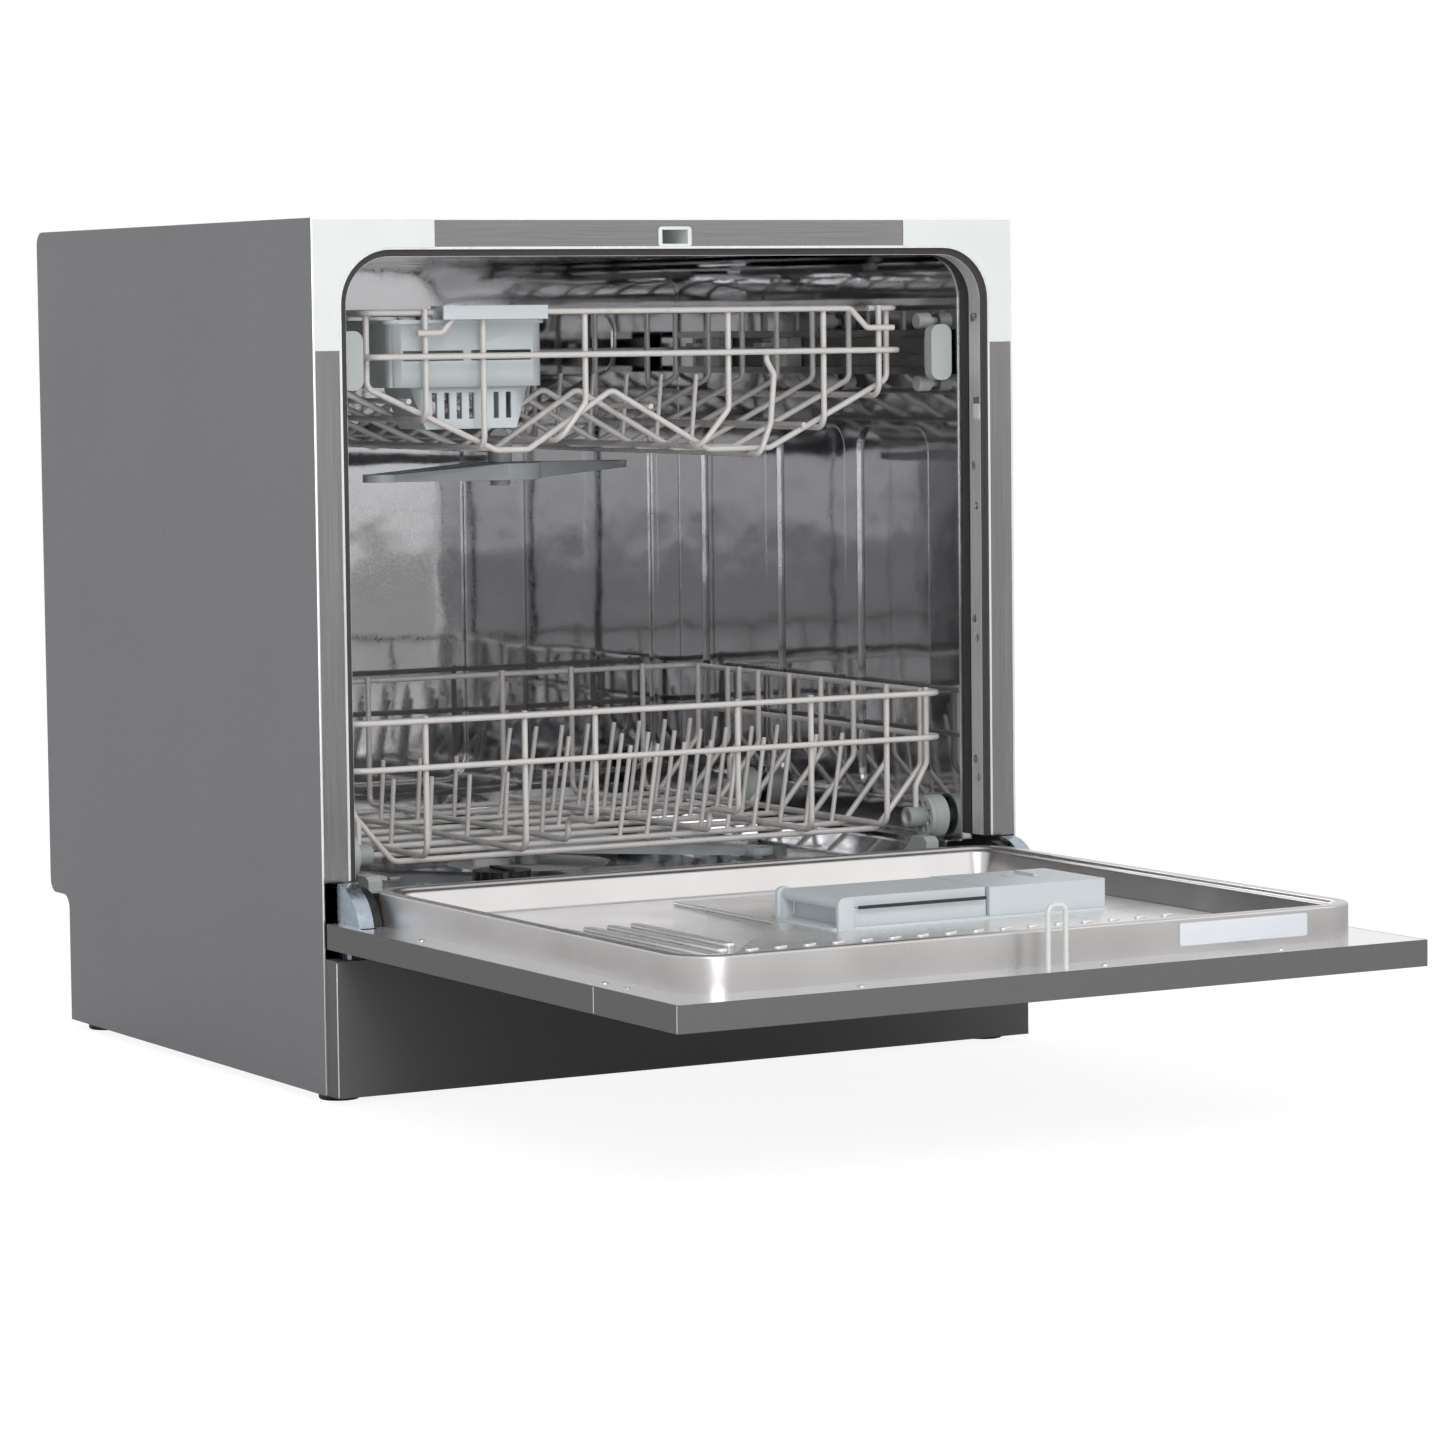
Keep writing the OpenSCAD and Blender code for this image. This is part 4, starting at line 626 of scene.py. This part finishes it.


# ---- fasteners, label and painted edge highlights --------------------------------------

def cross_screw(radius):
    """A pan-head screw with a cross recess, its seat on z = 0."""
    clear_selection()
    bpy.ops.mesh.primitive_cylinder_add(vertices=20, radius=radius, depth=0.4 * radius,
                                        location=(0, 0, 0.2 * radius))
    screw = name_new("screw")
    bpy.ops.object.mode_set(mode="EDIT")
    edit_select(screw, "FACE", lambda f: f.normal.z > 0.9)
    bpy.ops.mesh.inset(thickness=0.35 * radius, depth=0.22 * radius)
    leave_edit()
    for size in ((1.1, 0.26), (0.26, 1.1)):
        low = (-size[0] * radius / 2, -size[1] * radius / 2, 0.25 * radius)
        cutter = box_piece("cutter", low, (-low[0], -low[1], radius))
        leave_edit()
        cut = screw.modifiers.new("slot", "BOOLEAN")
        cut.object = cutter
        cut.solver = "EXACT"
        pick(screw)
        bpy.ops.object.modifier_apply(modifier=cut.name)
        bpy.data.objects.remove(cutter)
    return settle(screw, None, 35)


def set_screws(name, body, material, places, radius, rise=None):
    """Copies one screw to every (point, direction) and joins the copies.
    The rise is the height of the head where the round one would touch its neighbours."""
    first = cross_screw(radius)
    if rise:
        first.data.transform(Matrix.Diagonal((1, 1, rise / (HEAD_HEIGHT * radius), 1)))
    copies = []
    for i, (at, way) in enumerate(places):
        twin = fresh_copy(first, f"{name}_{i}", (0, 0, 0))
        driven = Matrix.Rotation(0.4 + 1.3 * i, 3, "Z").to_quaternion()
        turn = Vector(way).to_track_quat("Z", "Y") @ driven
        twin.data.transform(Matrix.Translation(at) @ turn.to_matrix().to_4x4())
        copies.append(twin)
    bpy.data.objects.remove(first)
    return finish_joined(name, copies, body, material, 35)


class DISHWASHER_OT_drive_screws(bpy.types.Operator):
    """Drives the screws of the door, its rim and the rear panel"""
    bl_idname = "dishwasher.drive_screws"
    bl_label = "Drive the screws"

    def execute(self, context):
        head = context.scene.dishwasher_sizes.screw_radius
        low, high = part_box("door_liner")
        steel = zinc_plate("screw_nickel_plate", hex_linear("#D8D9DA"))
        top = high.z - RIM_HEIGHT
        seat = RIM_HALF - 1.9 * MM
        column = 0.261
        door, covered, rim = [], [], []
        for side in (-1, 1):
            for y in (-0.042, -0.092):
                rim.append(((side * seat, y, top + 10 * MM), (side, 0, 0)))
            for y in (-0.371, -0.12):
                door.append(((side * column, y, top), (0, 0, 1)))
            covered.append(((side * column, -0.399, top), (0, 0, 1)))
        for x in (-0.14, 0.035, 0.168):
            door.append(((x, low.y + 0.012, top), (0, 0, 1)))
        # the closed door leaves 1 mm to the frame, 0.4 mm to the corner covers, 2.2 mm to the clips
        set_screws("door_screws", "door", steel, door, head * 0.85, 0.8 * MM)
        set_screws("covered_screws", "door", steel, covered, head * 0.85, 0.3 * MM)
        set_screws("rim_screws", "door", steel, rim, head * 1.3, 1.7 * MM)

        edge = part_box("rear_panel")[1]
        behind = edge.y - HEAD_HEIGHT * head
        places = [(x, edge.z - 0.012) for x in (-0.255, -0.13, 0.0, 0.13, 0.255)]
        places += [(side * 0.262, z) for z in (0.15, 0.29, 0.43) for side in (-1, 1)]
        back = [((x, behind, z), (0, 1, 0)) for x, z in places]
        set_screws("rear_panel_screws", "cabinet", steel, back, head)
        return {"FINISHED"}


class DISHWASHER_OT_stick_label(bpy.types.Operator):
    """Sticks the bare rating plate on the rim's end wall"""
    bl_idname = "dishwasher.stick_label"
    bl_label = "Stick the rating plate"

    def execute(self, context):
        sizes = context.scene.dishwasher_sizes
        low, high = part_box("door_liner")
        front = low.y + RIM_SETBACK
        x, z = 0.152, high.z - 10.5 * MM
        w, h = sizes.label_width / 2, sizes.label_height / 2
        plate = box_piece("rating_plate", (x - w, front - 0.35 * MM, z - h),
                          (x + w, front + 0.3 * MM, z + h))
        round_corners(plate, "y", 0.2 * MM, 1.6 * MM, 5)
        edit_select(plate, "FACE", lambda f: f.normal.y < -0.9)
        bpy.ops.mesh.inset(thickness=0.25 * MM, depth=0.1 * MM)
        leave_edit()
        film = moulded_plastic("label_polyester_film", hex_linear("#DDE0E6"), (0.28, 0.36),
                               grain=0.8, height=0.05)
        settle(plate, film, 30)
        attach(plate, "door")
        return {"FINISHED"}


class DISHWASHER_OT_edge_highlights(bpy.types.Operator):
    """Lays painted highlights: a bright ring round the cabinet's front edges and bright upright
    lines on the corner edges of door and plinth
    """
    bl_idname = "dishwasher.fold_hems"
    bl_label = "Fold the bright hems"

    def execute(self, context):
        # Painted highlight: a near-white steel ring and upright lines stand in for the light caught
        # on the front and corner edges.
        steel = brushed_stainless("edge_painted_highlight_steel", hex_linear("#F2F2F2"), 2, (0.3, 0.45))
        half, top, foot = 0.27495, 0.58995, 0.0055
        hem = box_piece("front_edge_highlight", (-half, -0.7 * MM, -0.03), (half, 2 * MM, top))
        edit_select(hem, "FACE", lambda f: abs(f.normal.y) > 0.9)
        bpy.ops.mesh.inset(thickness=1.7 * MM)
        bpy.ops.mesh.bridge_edge_loops()
        bpy.ops.mesh.select_all(action="SELECT")
        bpy.ops.mesh.bisect(plane_co=(0, 0, foot), plane_no=(0, 0, 1),
                            use_fill=True, clear_inner=True)
        edit_select(hem, "EDGE", lambda e: e.calc_face_angle(0) > 1.2)
        bpy.ops.mesh.bevel(offset=0.4 * MM, segments=2, affect="EDGES")
        bpy.ops.mesh.select_all(action="SELECT")
        bpy.ops.mesh.normals_make_consistent(inside=False)
        leave_edit()
        finish_joined("front_edge_highlight", [hem], "cabinet", steel)

        # Painted highlight lines down both sides of the door, at the fascia and at the front edge.
        low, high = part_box("door_panel")
        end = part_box("control_fascia")[0]
        bounds = (high.x - 0.5 * MM, low.z + 0.6 * MM, high.z - 0.3 * MM)
        highlight_lines = [self.bead(side, y, width, *bounds) for side in (-1, 1)
                 for y, width in ((end.y, 1.3 * MM), (low.y - 0.9 * MM, 1.1 * MM))]
        finish_joined("door_corner_highlights", highlight_lines, "door", steel)

        # Painted highlight lines down both front corners of the plinth.
        low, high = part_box("kickplate")
        bounds = (high.x - 0.4 * MM, low.z + MM, high.z - MM)
        highlight_lines = [self.bead(side, low.y - 0.12 * MM, 1.22 * MM, *bounds) for side in (-1, 1)]
        finish_joined("plinth_corner_highlights", highlight_lines, "cabinet", steel)
        return {"FINISHED"}

    def bead(self, side, y, width, reach, low, high):
        """An upright line of painted highlight where two sheets meet at a corner."""
        inner, outer = sorted((side * reach, side * (reach + 0.55 * MM)))
        bead = box_piece("bead", (inner, y, low), (outer, y + width, high))
        round_corners(bead, "z", MM, 0.2 * MM, 2)
        leave_edit()
        return bead


# ---- seal channel and opening lip ------------------------------------------------------

def arch_band(name, half, top, radius, y0, y1, wall):
    """A thin band that follows the opening: up one side, over the top and down the other."""
    band = box_piece(name, (-half, y0, OPENING_FOOT), (half, y1, top))
    runs_back = edge_along("y", abs(y1 - y0) / 2)
    edit_select(band, "EDGE", lambda e: all(v.co.z > top - MM for v in e.verts) and runs_back(e))
    bpy.ops.mesh.bevel(offset=radius, segments=12, affect="EDGES")
    edit_select(band, "FACE", lambda f: abs(f.normal.y) > 0.9 or f.normal.z < -0.9)
    bpy.ops.mesh.delete(type="FACE")
    leave_edit()
    thicken(band, wall)
    return band


class DISHWASHER_OT_fit_channel(bpy.types.Operator):
    """Fits the steel channel that holds the seal, and the lip round the opening, painted near white
    as a highlight
    """
    bl_idname = "dishwasher.fit_channel"
    bl_label = "Fit the seal's channel"

    def execute(self, context):
        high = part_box("door_gasket")[1]
        steel = brushed_stainless("channel_stainless", hex_linear("#E2E0E1"), 2, (0.36, 0.5), 0.45)
        wall = 0.5 * MM
        face = high.x - 5.45 * MM
        channel = arch_band("seal_channel", face, high.z - 5.35 * MM, 32.5 * MM,
                            2.6 * MM, 16.5 * MM, wall)
        finish_joined("seal_channel", [channel], "cabinet", steel)

        nickel = zinc_plate("channel_screw_nickel", hex_linear("#DCDDDE"))
        radius = 3.4 * MM
        proud = 0.45 * MM           # how far screws and clips stand out of the channel
        seat = face - wall
        behind = seat + HEAD_HEIGHT * radius - proud
        places, clips = [], []
        for side in (-1, 1):
            for z in (0.19, 0.29, 0.385, 0.52):
                places.append(((side * behind, 8.8 * MM, z), (-side, 0, 0)))
            inner, outer = sorted((side * (seat - proud), side * (seat + 0.5 * MM)))
            clip = box_piece("clip", (inner, 3.2 * MM, 0.447), (outer, 11.2 * MM, 0.458))
            round_corners(clip, "x", 0.5 * MM, 0.9 * MM, 3)
            leave_edit()
            clips.append(clip)
        set_screws("channel_screws", "cabinet", nickel, places, radius)
        finish_joined("seal_clips", clips, "cabinet",
                      bpy.data.materials["cover_polypropylene"], 30)

        # Painted highlight: the frame's edge round the opening is drawn in near-white steel to
        # stand in for the light it catches.
        bright = brushed_stainless("lip_painted_highlight_steel", hex_linear("#EDEDED"), 2, (0.25, 0.4))
        lip = arch_band("opening_lip", high.x + 0.6 * MM, high.z + 0.6 * MM, 38.5 * MM,
                        -0.45 * MM, 2.5 * MM, 1.7 * MM)
        finish_joined("opening_lip", [lip], "cabinet", bright)
        return {"FINISHED"}


# ---- dispenser trim, cutlery box and wheel bushes --------------------------------------

class DISHWASHER_OT_trim_dispenser(bpy.types.Operator):
    """Adds the dispenser's hinge posts, a dark strip of painted shade for the lid's finger slot,
    and its latch tab
    """
    bl_idname = "dishwasher.trim_dispenser"
    bl_label = "Trim the dispenser"

    def execute(self, context):
        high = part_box("dispenser_body")[1]
        lid_low, lid_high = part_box("dispenser_lid")
        plastic = bpy.data.materials["dispenser_polypropylene"]
        shade = moulded_plastic("slot_shadow_polypropylene", hex_linear("#2A2D2F"))
        posts = []
        for y in (lid_low.y - 3.2 * MM, lid_high.y - 0.8 * MM):
            post = box_piece("post", (lid_low.x - 2 * MM, y, lid_low.z - 13 * MM),
                             (lid_low.x + 10 * MM, y + 4 * MM, lid_high.z + 0.6 * MM))
            runs_back = edge_along("y", 3 * MM)
            edit_select(post, "EDGE", lambda e: e.verts[0].co.z > lid_high.z and runs_back(e))
            bpy.ops.mesh.bevel(offset=4.6 * MM, segments=8, affect="EDGES")
            leave_edit()
            soften(post, 0.5 * MM, 2)
            settle(post, plastic, 30)
            posts.append(post)
        finish_joined("dispenser_posts", posts, "door", plastic, 30)

        width = lid_high.x - lid_low.x
        left, right = lid_low.x + 0.13 * width, lid_low.x + 0.985 * width
        # Painted shade: a thin near-black strip stands in for the shade inside the lid's finger
        # slot.
        slot = box_piece("lid_slot", (left, lid_low.y - 0.25 * MM, lid_low.z + 0.1 * MM),
                         (right, lid_low.y + 0.5 * MM, lid_low.z + 2.3 * MM))
        round_corners(slot, "y", 0.3 * MM, 0.7 * MM, 4)
        leave_edit()
        finish_joined("lid_slot", [slot], "dispenser_lid", shade, 30)

        tab = box_piece("latch_tab", (lid_high.x + 9 * MM, high.y - 30 * MM, high.z - 1.5 * MM),
                        (lid_high.x + 31 * MM, high.y - 16 * MM, high.z - 0.05 * MM))
        edit_select(tab, "FACE", lambda f: f.normal.z > 0.9)
        bpy.ops.mesh.inset(thickness=3 * MM, depth=-0.8 * MM)
        leave_edit()
        soften(tab, 0.3 * MM, 2)
        finish_joined("latch_tab", [tab], "door", plastic, 30)
        return {"FINISHED"}


class DISHWASHER_OT_mould_cutlery_box(bpy.types.Operator):
    """Moulds the cutlery box with a shallow hook over the front wire and narrow gaps in its wall"""
    bl_idname = "dishwasher.mould_cutlery_box"
    bl_label = "Mould the cutlery box"

    def execute(self, context):
        low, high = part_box("cutlery_basket")
        box = merged_copy("cutlery_basket", "cutlery_box_shell")
        hook_foot = high.z - 16 * MM
        edit_select(box, "VERT",
                    lambda v: v.co.y < low.y + 2.2 * MM and abs(v.co.z - hook_foot) < MM)
        bpy.ops.transform.translate(value=(0, 0, 6.5 * MM))
        gap_top = low.z + 57 * MM
        edit_select(box, "VERT",
                    lambda v: v.co.y < low.y + 24 * MM and abs(v.co.z - gap_top) < 0.4 * MM)
        bpy.ops.transform.translate(value=(0, 0, -3 * MM))
        leave_edit()
        settle(box, bpy.data.materials["cutlery_polypropylene"], 35)
        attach(box, "cutlery_basket")
        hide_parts("cutlery_basket")
        return {"FINISHED"}


class DISHWASHER_OT_press_bushes(bpy.types.Operator):
    """Presses the plastic bushes on the lower basket's wheel axles"""
    bl_idname = "dishwasher.press_bushes"
    bl_label = "Press on the wheel bushes"

    def execute(self, context):
        plastic = moulded_plastic("bush_acetal", hex_linear("#9DA3A2"))
        bushes = []
        for name in WHEELS:
            low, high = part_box(name)
            side = 1 if low.x > 0 else -1
            inner = low.x if side > 0 else high.x
            middle = (low + high) / 2
            clear_selection()
            axle = (inner - side * 7 * MM, middle.y, middle.z)
            bpy.ops.mesh.primitive_cylinder_add(vertices=40, radius=7.4 * MM, depth=13.2 * MM,
                                                rotation=(0, math.pi / 2, 0), location=axle)
            bush = name_new("bush")
            bpy.ops.object.transform_apply(location=True, rotation=True, scale=True)
            bpy.ops.object.mode_set(mode="EDIT")
            edit_select(bush, "FACE", lambda f: f.normal.x * side < -0.9)
            bpy.ops.mesh.inset(thickness=2.4 * MM)
            bpy.ops.mesh.inset(thickness=0.2 * MM, depth=-4 * MM)
            leave_edit()
            soften(bush, 0.5 * MM, 2)
            settle(bush, plastic, 30)
            bushes.append(bush)
        finish_joined("wheel_bushes", bushes, "lower_basket", plastic, 30)
        return {"FINISHED"}


# ---- spray arms ------------------------------------------------------------------------

class DISHWASHER_OT_mould_arms(bpy.types.Operator):
    """Moulds the spray arms: thick at the hub and tapering to thin tips"""
    bl_idname = "dishwasher.mould_arms"
    bl_label = "Mould the spray arms"

    def execute(self, context):
        hub, tip = 0.2, 0.45        # the hub's share of the reach, the tip's share of the height
        for name, piece_name in (("upper_spray_arm", "upper_arm_shell"),
                                 ("lower_spray_arm", "lower_arm_shell")):
            low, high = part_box(name)
            centre = (low + high) / 2
            reach = max(high.x - low.x, high.y - low.y) / 2
            shell = merged_copy(name, piece_name)
            leave_edit()
            for point in shell.data.vertices:
                away = min(1.0, (point.co - centre).to_2d().length / reach)
                thin = 1.0 - (1.0 - tip) * max(0.0, away - hub) / (1.0 - hub)
                point.co.z = centre.z + (point.co.z - centre.z) * thin
            settle(shell, bpy.data.materials["arm_polypropylene"], 35)
            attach(shell, name)
            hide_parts(name)
        return {"FINISHED"}


# ---- stage -----------------------------------------------------------------------------

class DISHWASHER_OT_build_stage(bpy.types.Operator):
    """Makes the camera, the lamps and the pale floor"""
    bl_idname = "dishwasher.build_stage"
    bl_label = "Build the stage"

    def execute(self, context):
        settings = context.scene.dishwasher_stage
        lens = bpy.data.cameras.new("view_camera")
        lens.lens = settings.lens
        lens.sensor_width = 36
        lens.clip_end = 50
        camera = bpy.data.objects.new("view_camera", lens)
        level = Matrix.Rotation(math.pi / 2, 4, "X")
        turn = (Matrix.Rotation(settings.yaw, 4, "Z") @ Matrix.Rotation(settings.pitch, 4, "X")
                @ Matrix.Rotation(settings.roll, 4, "Y") @ level)
        camera.matrix_world = Matrix.Translation(Vector(settings.camera_at)) @ turn
        context.scene.collection.objects.link(camera)
        context.scene.camera = camera

        clear_selection()
        bpy.ops.mesh.primitive_plane_add(size=14, location=(0, 0, 0))
        floor = name_new("studio_floor")
        floor.data.materials.append(self.paper("studio_paper"))

        context.scene.world = self.air("studio_air")
        self.lamp("key_softbox", (-0.9, -2.6, 2.2), (0, 0.1, 0.35), 1.6, 30)
        self.lamp("door_softbox", (1.9, -2.2, 1.6), (0, -0.1, 0.25), 1.8, 7)
        self.lamp("tub_front_light", (-0.5, -2.4, 0.6), (0, 0.2, 0.36), 0.9, 10)
        self.lamp("back_softbox", (0.4, 2.6, 1.9), (0, 0.2, 0.3), 1.6, 20)
        context.scene.view_settings.view_transform = "Standard"
        return {"FINISHED"}

    def air(self, name):
        """White to the camera and in reflections, and half as bright to the matt surfaces."""
        world = empty_nodes(bpy.data.worlds.new(name))
        white = (1, 1, 1, 1)
        path = add_node(world, "ShaderNodeLightPath")
        mirrored = add_node(world, "ShaderNodeMath", [(0, path, "Is Transmission Ray"),
                                                      (1, path, "Is Glossy Ray")],
                            operation="MAXIMUM")
        seen = add_node(world, "ShaderNodeMath", [(0, path, "Is Camera Ray"), (1, mirrored, 0)],
                        operation="MAXIMUM")
        soft = add_node(world, "ShaderNodeBackground", Color=white, Strength=0.5)
        bright = add_node(world, "ShaderNodeBackground", Color=white, Strength=1.0)
        blend = add_node(world, "ShaderNodeMixShader", [("Fac", seen, 0), (1, soft, 0),
                                                        (2, bright, 0)])
        add_node(world, "ShaderNodeOutputWorld", [("Surface", blend, 0)])
        return world

    def lamp(self, name, at, towards, size, power):
        """A round softbox that faces a point."""
        data = bpy.data.lights.new(name, "AREA")
        data.shape = "DISK"
        data.size = size
        data.energy = power
        lamp = bpy.data.objects.new(name, data)
        way = Vector(towards) - Vector(at)
        turn = way.to_track_quat("-Z", "Y").to_matrix().to_4x4()
        lamp.matrix_world = Matrix.Translation(at) @ turn
        bpy.context.scene.collection.objects.link(lamp)

    def paper(self, name):
        """Matt white paper: it keeps the object's shadow and stays white to the camera."""
        material = empty_nodes(bpy.data.materials.new(name))
        fibre = noise(material, coordinates(material), 3.0, 2.0)
        tone = mix_colours(material, fibre, "Fac", (0.86, 0.86, 0.86, 1), (0.9, 0.9, 0.9, 1))
        matt = add_node(material, "ShaderNodeBsdfDiffuse", [("Color", tone, "Color")])
        glow = add_node(material, "ShaderNodeEmission", Strength=1.16)
        both = add_node(material, "ShaderNodeMixShader", [(1, matt, "BSDF"), (2, glow, "Emission")],
                        Fac=0.78)
        path = add_node(material, "ShaderNodeLightPath")
        blend = add_node(material, "ShaderNodeMixShader", [("Fac", path, "Is Camera Ray"),
                                                           (1, matt, "BSDF"), (2, both, "Shader")])
        add_node(material, "ShaderNodeOutputMaterial", [("Surface", blend, "Shader")])
        return material


class DISHWASHER_PT_panel(bpy.types.Panel):
    """Sizes, colours and steps of the dishwasher"""
    bl_idname = "DISHWASHER_PT_panel"
    bl_label = "Dishwasher"
    bl_space_type = "VIEW_3D"
    bl_region_type = "UI"
    bl_category = "Dishwasher"

    def draw(self, context):
        scene = context.scene
        for group in (scene.dishwasher_colours, scene.dishwasher_sizes, scene.dishwasher_stage):
            box = self.layout.box()
            for name in group.bl_rna.properties.keys():
                if name not in ("rna_type", "name"):
                    box.prop(group, name)
        for operator in STEPS:
            self.layout.operator(operator.bl_idname)


STEPS = (DISHWASHER_OT_build_stage, DISHWASHER_OT_finish_cabinet, DISHWASHER_OT_draw_liner,
         DISHWASHER_OT_drive_screws, DISHWASHER_OT_stick_label, DISHWASHER_OT_edge_highlights,
         DISHWASHER_OT_fit_channel, DISHWASHER_OT_trim_dispenser, DISHWASHER_OT_mould_cutlery_box,
         DISHWASHER_OT_press_bushes, DISHWASHER_OT_mould_arms)
CLASSES = (DishwasherColours, DishwasherSizes, DishwasherStage) + STEPS + (DISHWASHER_PT_panel,)


def register():
    for cls in CLASSES:
        bpy.utils.register_class(cls)
    bpy.types.Scene.dishwasher_colours = PointerProperty(type=DishwasherColours)
    bpy.types.Scene.dishwasher_sizes = PointerProperty(type=DishwasherSizes)
    bpy.types.Scene.dishwasher_stage = PointerProperty(type=DishwasherStage)


def unregister():
    del bpy.types.Scene.dishwasher_stage
    del bpy.types.Scene.dishwasher_sizes
    del bpy.types.Scene.dishwasher_colours
    for cls in reversed(CLASSES):
        bpy.utils.unregister_class(cls)


def main():
    register()
    for operator in STEPS:
        group, name = operator.bl_idname.split(".")
        getattr(getattr(bpy.ops, group), name)()


if __name__ == "__main__":
    main()
